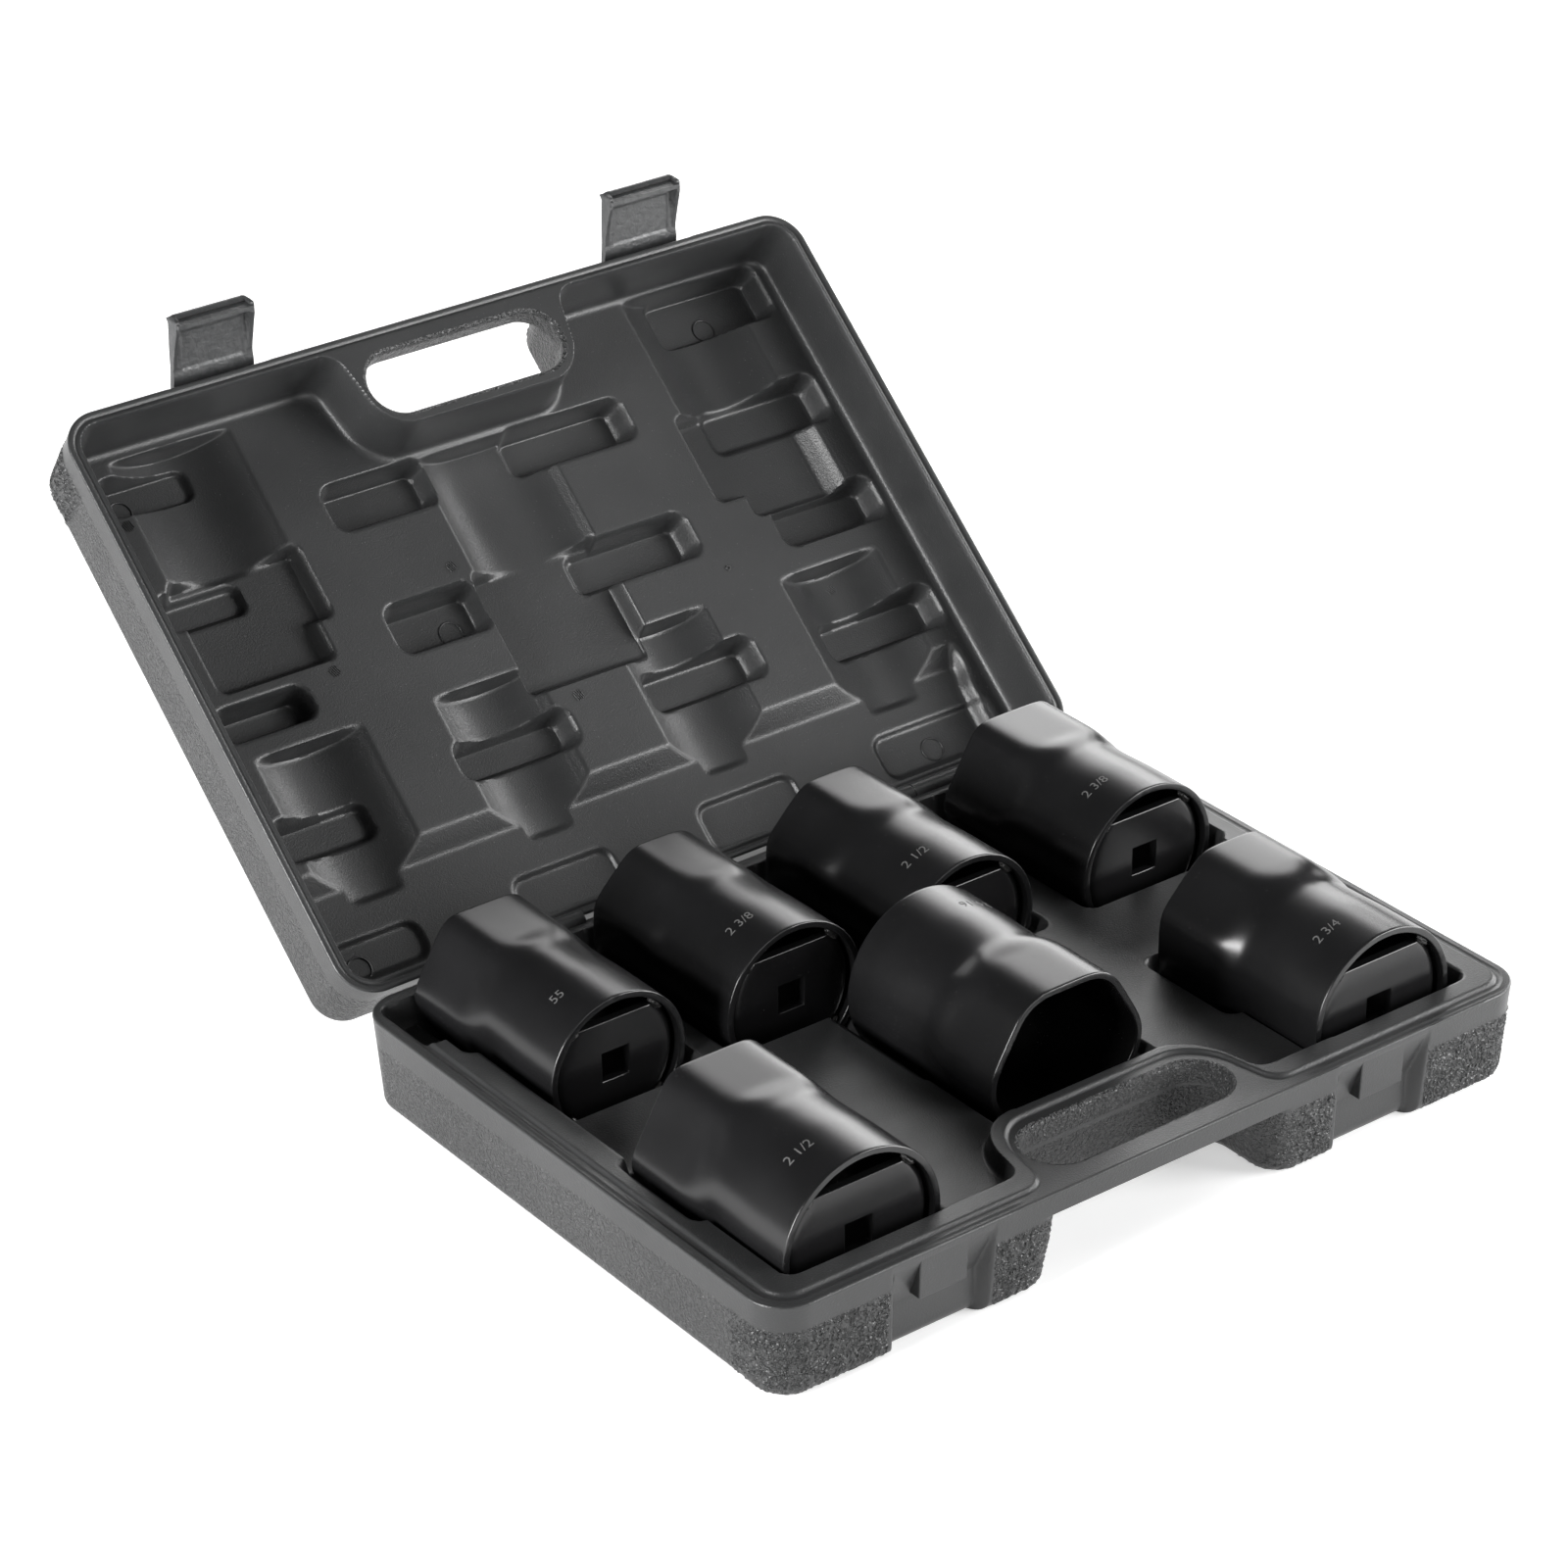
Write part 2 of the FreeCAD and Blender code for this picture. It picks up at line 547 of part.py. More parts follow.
def socket_shell(spec):
    return socket_solid(spec, 0.0, 0.0).cut(socket_solid(spec, WALL, 1.0))


def drive_plate(spec):
    """Flat strip across the round end, its ends bent back along the wall, with a square hole."""
    _, centre, round_y, shaped_y, radius, _, _ = spec
    inward = -1 if round_y > shaped_y else 1
    outer = radius - WALL - 0.03
    face = round_y + inward * 2.5
    back = face + inward * PLATE_T
    tail = face + inward * PLATE_LEG
    half_height = 0.64 * radius
    slab = box(centre - 60, centre + 60, min(face, tail), max(face, tail),
               AXIS_Z - half_height, AXIS_Z + half_height)
    disc = rod_y(outer, min(face, tail), max(face, tail), centre, AXIS_Z)
    scoop = rod_y(outer - PLATE_T, min(back, tail + inward), max(back, tail + inward), centre, AXIS_Z)
    square = box(centre - DRIVE / 2, centre + DRIVE / 2, min(face, back) - 1, max(face, back) + 1,
                 AXIS_Z - DRIVE / 2, AXIS_Z + DRIVE / 2)
    return disc.common(slab).cut(scoop).cut(square)


# ---- rest pose -------------------------------------------------------------------
def open_lid(shape):
    shape.rotate(V(0, HINGE_Y, HINGE_Z), V(-1, 0, 0), OPEN_DEG)
    return shape


def swing_latch(shape):
    shape.rotate(V(0, LATCH_PIVOT_Y, LATCH_PIVOT_Z), V(-1, 0, 0), LATCH_SWING)
    return shape


def save(name, shape):
    if not shape.isValid():
        shape.fix(0.01, 0.01, 0.05)
    print(f"{name:34s} valid {shape.isValid()} solids {len(shape.Solids)} {shape.Volume / 1000:9.2f} cm3")
    shape.exportStep(f"parts/{name}.step")


def main():
    shell, tray = base_halves()
    save("base_outer_shell", shell)
    save("base_inner_tray", tray)
    shell, tray = lid_halves()
    save("lid_outer_shell", open_lid(shell))
    save("lid_inner_tray", open_lid(tray))
    for side, word in ((-1, "left"), (1, "right")):
        reach = KNUCKLE_HALF + LEAF_LEN
        cx = side * HINGE_X
        save(f"hinge_pin_{word}", rod_x(HINGE_PIN_R, cx - reach, cx + reach, HINGE_Y, HINGE_Z))
        cx = side * LATCH_X
        reach = RECESS_HALF + LATCH_PIN_GRIP
        pin = rod_x(LATCH_PIN_R, cx - reach, cx + reach, LATCH_PIVOT_Y, LATCH_PIVOT_Z)
        save(f"latch_pin_{word}", open_lid(pin))
        save(f"latch_{word}", open_lid(swing_latch(latch(cx))))
    for name, spec in SOCKETS.items():
        save(f"{name}_shell", socket_shell(spec))
        save(f"{name}_drive_plate", drive_plate(spec))


main()
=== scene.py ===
"""Looks of the socket wrench set: case mouldings, latches, sockets, materials, floor, light and camera.

Lengths are millimetres until a mesh is made. The lid and latches are drawn closed, then turned to rest.
"""
import json
import math

import bmesh
import bpy
import numpy as np
from mathutils import Matrix, Vector, noise
from mathutils.geometry import tessellate_polygon


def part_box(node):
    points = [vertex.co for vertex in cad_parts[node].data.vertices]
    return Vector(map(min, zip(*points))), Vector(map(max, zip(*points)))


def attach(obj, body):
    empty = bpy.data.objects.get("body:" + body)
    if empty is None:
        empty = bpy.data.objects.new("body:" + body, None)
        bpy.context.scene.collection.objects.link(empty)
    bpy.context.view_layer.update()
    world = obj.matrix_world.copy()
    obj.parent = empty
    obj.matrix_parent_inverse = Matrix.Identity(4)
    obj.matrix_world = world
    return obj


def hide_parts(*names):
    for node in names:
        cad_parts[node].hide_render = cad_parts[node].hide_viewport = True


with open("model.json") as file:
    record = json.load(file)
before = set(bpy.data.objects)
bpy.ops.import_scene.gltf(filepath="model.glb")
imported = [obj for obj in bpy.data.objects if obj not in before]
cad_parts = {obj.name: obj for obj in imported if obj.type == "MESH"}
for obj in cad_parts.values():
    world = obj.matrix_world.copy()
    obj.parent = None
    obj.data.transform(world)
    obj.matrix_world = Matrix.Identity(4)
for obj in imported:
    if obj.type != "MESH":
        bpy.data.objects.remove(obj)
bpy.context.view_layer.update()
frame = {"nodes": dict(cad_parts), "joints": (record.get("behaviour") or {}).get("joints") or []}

MM = 0.001

# ---- case
HALF_X = 190.0
HALF_Y = 137.5
PARTING = 43.0            # height of the parting plane
BASE_H = 43.0
LID_H = 42.5
CORNER_R = 17.0
DRAFT = 3.3               # lean of the outer walls from rim to floor
FLOOR_R = 5.0             # rounding where walls meet the floor
RIM_R = 1.0               # rounding of the rim's outer edge
DECK_Z = 36.0
STRIP_TOP = 44.5
STRIP_IN = 6.3
BEAD_IN = 3.3             # thin bead on the base's rim
BEAD_H = 0.6
GROOVE_H = 0.75           # groove in the lid's rim that takes the base's bead
RIM_GAP = 0.15            # gap between the rims when the lid is shut
LID_WALL = 5.9
LID_DEPTH = 28.5          # rim to inner deck
# deeper band along the lid's hinge side
BAND_DEPTH = 35.7
BAND_FRONT, BAND_SLOPE = 73.0, 9.6      # where it starts, and how far it slopes down
BAND_LEFT, BAND_RIGHT = -174.5, 172.5
BAND_STEP, BAND_STEP_Y = 0.8, 124.5     # low step at its far end
BAND_SLOT_DEPTH = 2.0
GRAIN_TOP = 31.0          # smooth band above, grained wall below
SKIN_PITCH = 0.9          # spacing of the inner skins' mesh, which is finer in the bands below
FINE_X = [(-HALF_X, -HALF_X + 12), (HALF_X - 12, HALF_X), (-70.0, -30.0), (30.0, 70.0)]
FINE_Y = [(-HALF_Y, -82.0), (HALF_Y - 12, HALF_Y)]
# panels in the outer face of each half: x from, x to, y from, y to
PANELS = [(-160.0, 160.0, -72.0, 114.0), (-160.0, -80.0, -114.0, -84.0), (80.0, 160.0, -114.0, -84.0)]
PANEL_R = 12.0
# frame round a panel: (distance in from its edge, depth)
PANEL_FRAME = [(0.0, 0.0), (0.3, 0.5), (1.0, 0.9), (5.0, 0.9), (5.8, 0.5), (6.2, 0.15)]
WORM_PITCH = 0.43         # cells of the worm grain per millimetre
WORM_H = 0.58
# grain attribute: 1 is worms, 0.5 is sand, 0 is smooth
SIDE_GRAIN = 0.5
FLOOR_GRAIN = 0.28

# ---- handle
SLOT_HALF = 49.0
SLOT_R = 14.5
SLOT_Y = -110.9
SLOT_EDGE = 2.0           # rounding of the slot's edge at the rim
SLOT_EDGE_BELOW = 1.2     # and under the grip
GRIP_H = 10.0
NOTCH_TOP = 50.5
NOTCH_END = 56.0
NOTCH_BACK = -96.4
NOTCH_LEAN = 3.0
NOTCH_R = 13.0
HANDLE_FLARE = 0.19       # how much wider the handle gets per millimetre towards the front
FLARE_FROM = -97.0
# raised land round the finger slot: middle x, then x from, x to, y from, y to, corner radius
BASE_HANDLE = (1.0, -51.0, 53.0, -190.0, -90.2, 17.0)
LID_HANDLE = (1.0, -50.3, 52.3, -190.0, -90.8, 16.4)
DECK_HANDLE = (-0.7, -57.5, 56.0, -190.0, -84.0, 21.0)     # the same land, as the base's deck goes round it
DECK_RECT = (-171.0, 171.0, -120.6, 130.2, 9.0)
HANDLE_BLEND = 9.0

# ---- latches and hinge
SIDES = ((-1, "left"), (1, "right"))
LATCH_X = 111.0
RECESS_HALF = 24.7
RECESS_Y = -129.9
RECESS_TOP = 40.0         # the base's recess starts here and deepens downwards
RECESS_SLOPE = 20.0
RECESS_SIDE = 1.75        # steepness of the recess's sides
LID_RECESS_Y = -132.6
LID_RECESS_SIDE = 6.0
LEDGE_H = 4.5             # ledge between the lid's recess and its rim
LATCH_FACE = -138.0
LATCH_T = 2.6
LATCH_HALF = 19.9         # half width at the pin
LATCH_END = 16.0          # height of the free end when shut
LATCH_SWING = 40.0        # degrees from shut to rest
LATCH_SHIFT = 1.5         # how far right of its recess's middle each flap sits
FLANGE_H = 4.0
LIP_H = 5.0               # hook lip on the inner face, between these heights
LIP_Z = (18.3, 21.0)
BARREL_R = 2.6
CATCH_HALF = 11.4
HINGE_X = 110.0
KNUCKLE_R = 4.0
KNUCKLE_HALF = 15.0
LEAF_LEN = 15.4
KNUCKLE_GAP = 0.5

# ---- sockets
WALL = 3.0
DRIVE = 12.7
PLATE_T = 4.0
PLATE_IN = 2.5            # plate's face inside the round end
PLATE_LEG = 16.0
PLATE_HALF = 0.64         # half height, as a part of the tube's radius
PLATE_BEND = 5.0          # outer radius of its bends
PLATE_BEND_IN = 1.0
TUBE_EDGE = 0.6           # rounding of the tube's edges
NECK_AT = 36.5            # middle of the slope down from the corners of the flats
NECK_LEN = 18.0
PINCH = 0.55              # depth of the valley behind the flats
TUBE_RINGS = 121
TUBE_SMOOTHING = 14

# name: (sides, tube radius, across flats, corner radius, formed end points to +Y, size mark)
SOCKETS = {
    "socket_55mm": (6, 32.1, 61.7, 7.0, True, "55"),
    "socket_2_3_8_eight": (8, 33.5, 66.4, 9.0, True, "2 3/8"),
    "socket_2_1_2_eight": (8, 34.0, 69.0, 8.0, True, "2 1/2"),
    "socket_2_3_8_six": (6, 34.7, 67.6, 7.0, True, "2 3/8"),
    "socket_2_9_16_six": (6, 36.6, 72.6, 16.0, False, "2 9/16"),
    "socket_2_3_4_eight": (8, 35.9, 74.6, 10.0, True, "2 3/4"),
    "socket_2_1_2_six": (6, 36.9, 70.0, 7.0, True, "2 1/2"),
}

MARK_SIZE = 6.4
MARK_IN = 17.0            # from the round end
MARK_LEAN = math.radians(-34.5)     # round from the top
MARK_PROUD = 0.09
# weld blobs of each plate: side, upper or lower, size out, along and in, seed
WELDS = [(-1, 1, (1.9, 3.6, 2.0), 0.3), (1, 1, (1.7, 4.2, 1.8), 5.3),
         (-1, -1, (1.7, 4.0, 1.8), 9.1), (1, -1, (1.8, 3.8, 1.9), 13.7)]

JOINTS = {joint["name"]: joint for joint in frame["joints"]}
HINGE_Y, HINGE_Z = (v / MM for v in JOINTS["lid_hinge"]["pos_m"][1:])
OPEN = math.radians(-JOINTS["lid_hinge"]["range_deg"][0])


def socket_place(name):
    """Centre x and axis height of a socket, y of its round end, the way in from there, and its length."""
    lo, hi = (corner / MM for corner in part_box(name + "_shell"))
    radius, flats, towards_back = (SOCKETS[name][i] for i in (1, 2, 4))
    axis = lo.z + max(radius, flats / 2)
    end, way = (lo.y, 1) if towards_back else (hi.y, -1)
    return (lo.x + hi.x) / 2, axis, end, way, hi.y - lo.y


# ---- turning about the hinges
def turn(points, y, z, angle):
    """Turn points about an axis along -X through (y, z)."""
    c, s = math.cos(angle), math.sin(angle)
    dy, dz = points[..., 1] - y, points[..., 2] - z
    return np.stack([points[..., 0], y + dy * c + dz * s, z - dy * s + dz * c], axis=-1)


def open_lid(points):
    return turn(points, HINGE_Y, HINGE_Z, OPEN)


# the latch pins' place with the lid closed
LATCH_PIN = np.array(JOINTS["latch_left_hinge"]["pos_m"]) / MM
PIVOT_Y, PIVOT_Z = turn(LATCH_PIN, HINGE_Y, HINGE_Z, -OPEN)[1:].tolist()


# ---- shaping functions
def ramp(d, width):
    """0 to 1 as d passes from -width/2 to width/2."""
    t = np.clip(d / width + 0.5, 0.0, 1.0)
    return t * t * (3.0 - 2.0 * t)


def in_rect(x, y, x0, x1, y0, y1, r):
    """Distance inside a rounded rectangle, negative outside."""
    qx = np.abs(x - (x0 + x1) / 2) - (x1 - x0) / 2 + r
    qy = np.abs(y - (y0 + y1) / 2) - (y1 - y0) / 2 + r
    return r - np.hypot(np.maximum(qx, 0), np.maximum(qy, 0)) - np.minimum(np.maximum(qx, qy), 0)


def soft_min(a, b, k):
    h = np.clip(0.5 + 0.5 * (b - a) / k, 0, 1)
    return b * (1 - h) + a * h - k * h * (1 - h)


def wall_depth(d, depth, lean, fillet):
    """Depth below the edge at distance d inside a leaning wall that ends in a fillet."""
    t = np.clip((d - lean) / fillet, 0, 1)
    return (depth - fillet) * np.clip(d / lean, 0, 1) + fillet * np.sqrt(np.clip(1 - (1 - t) ** 2, 0, 1))


def in_rim(x, y):
    return in_rect(x, y, -HALF_X, HALF_X, -HALF_Y, HALF_Y, CORNER_R)


def in_slot(x, y, grow):
    """Distance inside the finger slot, grown all round."""
    r = SLOT_R + grow
    return in_rect(x, y, -SLOT_HALF - grow, SLOT_HALF + grow, SLOT_Y - r, SLOT_Y + r, r)


def grid_lines(lo, hi, coarse, fine, bands):
    """Grid lines from lo to hi, closer together inside the bands."""
    lines = [lo]
    while lines[-1] < hi - 1e-6:
        here = lines[-1] + 1e-6
        pitch = fine if any(a <= here <= b for a, b in bands) else coarse
        lines.append(min(lines[-1] + pitch, hi))
    return np.array(lines)


def blur(field):
    """Light smoothing that rounds the edges of a height field."""
    for axis in (0, 1):
        mixed = 0.25 * np.roll(field, 1, axis) + 0.5 * field + 0.25 * np.roll(field, -1, axis)
        keep = [slice(None), slice(None)]
        keep[axis] = slice(1, -1)
        field[tuple(keep)] = mixed[tuple(keep)]
    return field


# ---- meshes
def grid_faces(rows, cols, wrap_rows=False, wrap_cols=False):
    i = np.arange(rows if wrap_rows else rows - 1)[:, None]
    j = np.arange(cols if wrap_cols else cols - 1)[None, :]
    i2, j2 = (i + 1) % rows, (j + 1) % cols
    quads = np.stack(np.broadcast_arrays(i * cols + j, i * cols + j2, i2 * cols + j2, i2 * cols + j), -1)
    return quads.reshape(-1, 4)


def facing(verts, faces, way):
    """Faces turned so that they look along way, or outwards when way is None."""
    a, b, c = (verts[faces[:, i]] for i in (0, 1, 2))
    normals = np.cross(b - a, c - a)
    if way is None:
        centre = verts[np.unique(faces)].mean(0)
        score = ((a + c) / 2 - centre) * normals
    else:
        score = normals * np.array(way)
    return faces if score.sum() > 0 else faces[:, ::-1]


def loft(rings, way=None):
    """Skin over closed rings of points, as (verts, faces)."""
    verts = np.array(rings)
    return verts, facing(verts.reshape(-1, 3), grid_faces(*verts.shape[:2], wrap_cols=True), way)


def border(r0, r1, c0, c1, cols):
    """Indices round a block of a point grid that has cols columns."""
    cells = [(r0, c) for c in range(c0, c1)] + [(r, c1) for r in range(r0, r1)]
    cells += [(r1, c) for c in range(c1, c0, -1)] + [(r, c0) for r in range(r1, r0, -1)]
    return np.array([r * cols + c for r, c in cells])


def thick_sheet(front, back, faces, loops):
    """Solid between two matching point grids: faces on each, and a rim along each loop."""
    shift = front.size // 3
    quads = [faces, faces[:, ::-1] + shift]
    for edge in loops:
        after = np.roll(edge, -1)
        quads.append(np.stack([edge + shift, after + shift, after, edge], -1))
    return np.concatenate([front.reshape(-1, 3), back.reshape(-1, 3)]), np.concatenate(quads)


def quarter_round(r, degrees):
    """Offsets (along, across) of a rounded edge, from its end face at 0 to its side at 90."""
    return [(r * (1 - math.sin(a)), r * (1 - math.cos(a))) for a in np.radians(degrees)]


def link_object(name, data):
    """New object in the scene for a mesh, curve, light or camera."""
    made = bpy.data.objects.new(name, data)
    bpy.context.scene.collection.objects.link(made)
    return made


def mesh_from(name, bm):
    """New mesh from a bmesh, which is freed."""
    mesh = bpy.data.meshes.new(name)
    bm.to_mesh(mesh)
    bm.free()
    return mesh


def add_object(name, mesh, material, body=None):
    """Mesh object with a material, riding on a body if one is named."""
    mesh.materials.clear()
    mesh.materials.append(material)
    piece = link_object(name, mesh)
    if body:
        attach(piece, body)
    return piece


def build(name, parts, material, body, sharp=38.0, grain=None, merge=None):
    """One object from (verts, faces) parts in millimetres, riding on a body."""
    verts = np.concatenate([v.reshape(-1, 3) for v, _ in parts])
    faces = []
    start = 0
    for v, f in parts:
        count = v.reshape(-1, 3).shape[0]
        if isinstance(f, np.ndarray):
            faces += (f + start).tolist()
        else:
            faces += [[i + start for i in face] for face in f]
        start += count
    mesh = bpy.data.meshes.new(name)
    mesh.from_pydata((verts * MM).tolist(), [], faces)
    if grain is not None:
        layer = mesh.attributes.new("grain", "FLOAT", "POINT")
        layer.data.foreach_set("value", np.asarray(grain, dtype=np.float32).ravel())
    bm = bmesh.new()
    bm.from_mesh(mesh)
    if merge:
        bmesh.ops.remove_doubles(bm, verts=bm.verts, dist=merge * MM)
    loose = [v for v in bm.verts if not v.link_faces]
    bmesh.ops.delete(bm, geom=loose, context="VERTS")
    bm.to_mesh(mesh)
    bm.free()
    mesh.validate()
    mesh.polygons.foreach_set("use_smooth", [True] * len(mesh.polygons))
    mesh.set_sharp_from_angle(angle=math.radians(sharp))
    return add_object(name, mesh, material, body)


def apply_modifiers(piece):
    """Replace a piece's mesh by its modified one."""
    depsgraph = bpy.context.evaluated_depsgraph_get()
    mesh = bpy.data.meshes.new_from_object(piece.evaluated_get(depsgraph))
    old = piece.data
    piece.modifiers.clear()
    piece.data = mesh
    bpy.data.meshes.remove(old)
    mesh.name = piece.name


def bevel(piece, width, segments=2, angle=40.0):
    modifier = piece.modifiers.new("edges", "BEVEL")
    modifier.width = width * MM
    modifier.segments = segments
    modifier.limit_method = "ANGLE"
    modifier.angle_limit = math.radians(angle)
    modifier.harden_normals = False
    apply_modifiers(piece)


def outwards(piece):
    """Turn all faces of a closed piece outwards."""
    bm = bmesh.new()
    bm.from_mesh(piece.data)
    bmesh.ops.recalc_face_normals(bm, faces=bm.faces)
    bm.to_mesh(piece.data)
    bm.free()


# ---- materials
class Nodes:
    """Short names for wiring a procedural material."""

    def __init__(self, name):
        self.material = bpy.data.materials.new(name)
        self.material.use_nodes = True
        self.tree = self.material.node_tree
        self.shader = self.tree.nodes["Principled BSDF"]
        self.coords = self.add("ShaderNodeTexCoord").outputs["Object"]

    def add(self, kind, **settings):
        node = self.tree.nodes.new(kind)
        for key, value in settings.items():
            setattr(node, key, value)
        return node

    def link(self, source, target):
        self.tree.links.new(source, target)

    def noise(self, scale, detail=3.0, roughness=0.5, distortion=0.0, coords=None):
        node = self.add("ShaderNodeTexNoise")
        node.inputs["Scale"].default_value = scale
        node.inputs["Detail"].default_value = detail
        node.inputs["Roughness"].default_value = roughness
        node.inputs["Distortion"].default_value = distortion
        self.link(coords or self.coords, node.inputs["Vector"])
        return node.outputs["Fac"]

    def stretched(self, scale):
        node = self.add("ShaderNodeMapping")
        node.inputs["Scale"].default_value = scale
        self.link(self.coords, node.inputs["Vector"])
        return node.outputs["Vector"]

    def voronoi(self, scale, feature="F1"):
        node = self.add("ShaderNodeTexVoronoi", feature=feature)
        node.inputs["Scale"].default_value = scale
        self.link(self.coords, node.inputs["Vector"])
        return node.outputs["Distance"]

    def spread(self, value, lo, hi, out_lo=0.0, out_hi=1.0):
        """Value mapped from lo..hi to out_lo..out_hi, clamped."""
        node = self.add("ShaderNodeMapRange")
        for index, number in enumerate((lo, hi, out_lo, out_hi), start=1):
            node.inputs[index].default_value = number
        self.link(value, node.inputs[0])
        return node.outputs[0]

    def math(self, kind, a, b):
        node = self.add("ShaderNodeMath", operation=kind)
        for index, value in enumerate((a, b)):
            if isinstance(value, (int, float)):
                node.inputs[index].default_value = value
            else:
                self.link(value, node.inputs[index])
        return node.outputs[0]

    def mix(self, factor, a, b):
        node = self.add("ShaderNodeMix", data_type="RGBA")
        self.link(factor, node.inputs["Factor"])
        for socket, value in ((node.inputs[6], a), (node.inputs[7], b)):
            if isinstance(value, tuple):
                socket.default_value = (*value, 1.0)
            else:
                self.link(value, socket)
        return node.outputs[2]

    def bump(self, height, strength, distance, under=None):
        node = self.add("ShaderNodeBump")
        node.inputs["Distance"].default_value = distance * MM
        if isinstance(strength, (int, float)):
            node.inputs["Strength"].default_value = strength
        else:
            self.link(strength, node.inputs["Strength"])
        self.link(height, node.inputs["Height"])
        if under is not None:
            self.link(under, node.inputs["Normal"])
        return node.outputs["Normal"]

    def attribute(self, name):
        return self.add("ShaderNodeAttribute", attribute_name=name).outputs["Fac"]

    def set(self, **sockets):
        for key, value in sockets.items():
            socket = self.shader.inputs[key.replace("_", " ")]
            if isinstance(value, (int, float)):
                socket.default_value = value
            elif isinstance(value, tuple):
                socket.default_value = (*value, 1.0)
            else:
                self.link(value, socket)


def case_plastic():
    """Blow-moulded polyethylene: satin black with dust; worm grain where the attribute says."""
    n = Nodes("case_plastic")
    cloud = n.noise(14.0, 4.0)
    specks = n.spread(n.voronoi(520.0), 0.05, 0.10, 1.0, 0.0)
    some = n.spread(n.noise(260.0, 2.0), 0.50, 0.60)
    dust = n.math("MULTIPLY", specks, some)
    plain = n.mix(n.spread(cloud, 0.35, 0.65), (0.023, 0.0235, 0.024), (0.031, 0.0315, 0.032))
    n.set(Base_Color=n.mix(dust, plain, (0.16, 0.16, 0.165)))
    smear = n.noise(1.0, 5.0, coords=n.stretched((18.0, 60.0, 40.0)))
    n.set(Roughness=n.spread(smear, 0.3, 0.7, 0.31, 0.39))
    fine = n.bump(n.noise(1300.0, 3.0, 0.6), 0.7, 0.22)
    grain = n.attribute("grain")
    squiggle = n.math("ABSOLUTE", n.math("SUBTRACT", n.noise(480.0, 1.0, 0.4, 0.6), 0.5), 0.0)
    worms = n.spread(squiggle, 0.0, 0.075, 1.0, 0.0)
    coarse = n.bump(worms, n.spread(grain, 0.5, 1.0), 0.45, fine)
    sand = n.spread(n.noise(560.0, 2.0, 0.6, 0.5), 0.38, 0.62)
    on_sides = n.math("SUBTRACT", n.spread(grain, 0.0, 0.5), n.spread(grain, 0.5, 1.0))
    n.set(Normal=n.bump(sand, on_sides, 0.9, coarse), Specular_IOR_Level=0.5, IOR=1.5)
    return n.material


def latch_plastic():
    """Injection-moulded latch: a little smoother than the case, with flow mottling."""
    n = Nodes("latch_plastic")
    mottled = n.noise(330.0, 3.0, 0.55, 0.3)
    flow = n.spread(mottled, 0.35, 0.65)
    n.set(Base_Color=n.mix(flow, (0.034, 0.035, 0.036), (0.050, 0.051, 0.052)))
    n.set(Roughness=n.spread(n.noise(90.0, 4.0), 0.3, 0.7, 0.30, 0.44))
    fine = n.bump(n.noise(1500.0, 2.0), 0.3, 0.08)
    n.set(Normal=n.bump(mottled, 0.8, 0.40, fine), Specular_IOR_Level=0.5)
    return n.material


def socket_black():
    """Black baked coating on steel: glossy with a fine orange peel, dust and light scuffs."""
    n = Nodes("socket_black")
    specks = n.spread(n.voronoi(520.0), 0.03, 0.07, 1.0, 0.0)
    some = n.spread(n.noise(55.0, 2.0), 0.55, 0.62)
    dust = n.math("MULTIPLY", specks, some)
    cloud = n.spread(n.noise(30.0, 4.0), 0.35, 0.65)
    plain = n.mix(cloud, (0.006, 0.006, 0.0063), (0.0085, 0.0085, 0.009))
    n.set(Base_Color=n.mix(dust, plain, (0.20, 0.20, 0.20)))
    smear = n.noise(1.0, 5.0, coords=n.stretched((70.0, 25.0, 70.0)))
    n.set(Roughness=n.spread(smear, 0.3, 0.7, 0.245, 0.27))
    peel = n.bump(n.noise(420.0, 3.0, 0.6), 0.05, 0.10)
    n.set(Normal=peel, Specular_IOR_Level=0.5)
    return n.material


def weld_black():
    """Weld metal under the same coating, rippled."""
    n = Nodes("weld_black")
    ripple = n.noise(520.0, 3.0, 0.6, 0.8)
    n.set(Base_Color=n.mix(n.spread(ripple, 0.4, 0.7), (0.012, 0.012, 0.012), (0.030, 0.029, 0.028)))
    n.set(Roughness=n.spread(ripple, 0.3, 0.7, 0.18, 0.34))
    n.set(Normal=n.bump(ripple, 0.4, 0.25), Specular_IOR_Level=0.55)
    return n.material


def mark_grey():
    """Size marks burnt into the coating by a laser."""
    n = Nodes("mark_grey")
    fleck = n.spread(n.noise(2600.0, 2.0), 0.35, 0.65)
    n.set(Base_Color=n.mix(fleck, (0.06, 0.06, 0.06), (0.15, 0.15, 0.148)), Roughness=0.55)
    n.set(Normal=n.bump(fleck, 0.3, 0.03))
    return n.material


def pin_steel():
    """Drawn wire with fine lines round it and a dull patch here and there."""
    n = Nodes("pin_steel")
    lines = n.noise(1.0, 3.0, coords=n.stretched((40.0, 2600.0, 2600.0)))
    n.set(Base_Color=n.mix(n.spread(lines, 0.3, 0.7), (0.40, 0.41, 0.42), (0.60, 0.60, 0.61)))
    n.set(Roughness=n.spread(n.noise(200.0, 3.0), 0.3, 0.7, 0.24, 0.42), Metallic=1.0)
    n.set(Normal=n.bump(lines, 0.25, 0.05))
    return n.material


def floor_white():
    n = Nodes("floor_white")
    cloud = n.noise(3.0, 3.0)
    n.set(Base_Color=n.mix(n.spread(cloud, 0.3, 0.7), (0.86, 0.86, 0.86), (0.89, 0.89, 0.89)))
    n.set(Roughness=0.8, Specular_IOR_Level=0.2, Emission_Color=(1.0, 1.0, 1.0), Emission_Strength=0.45)
    return n.material


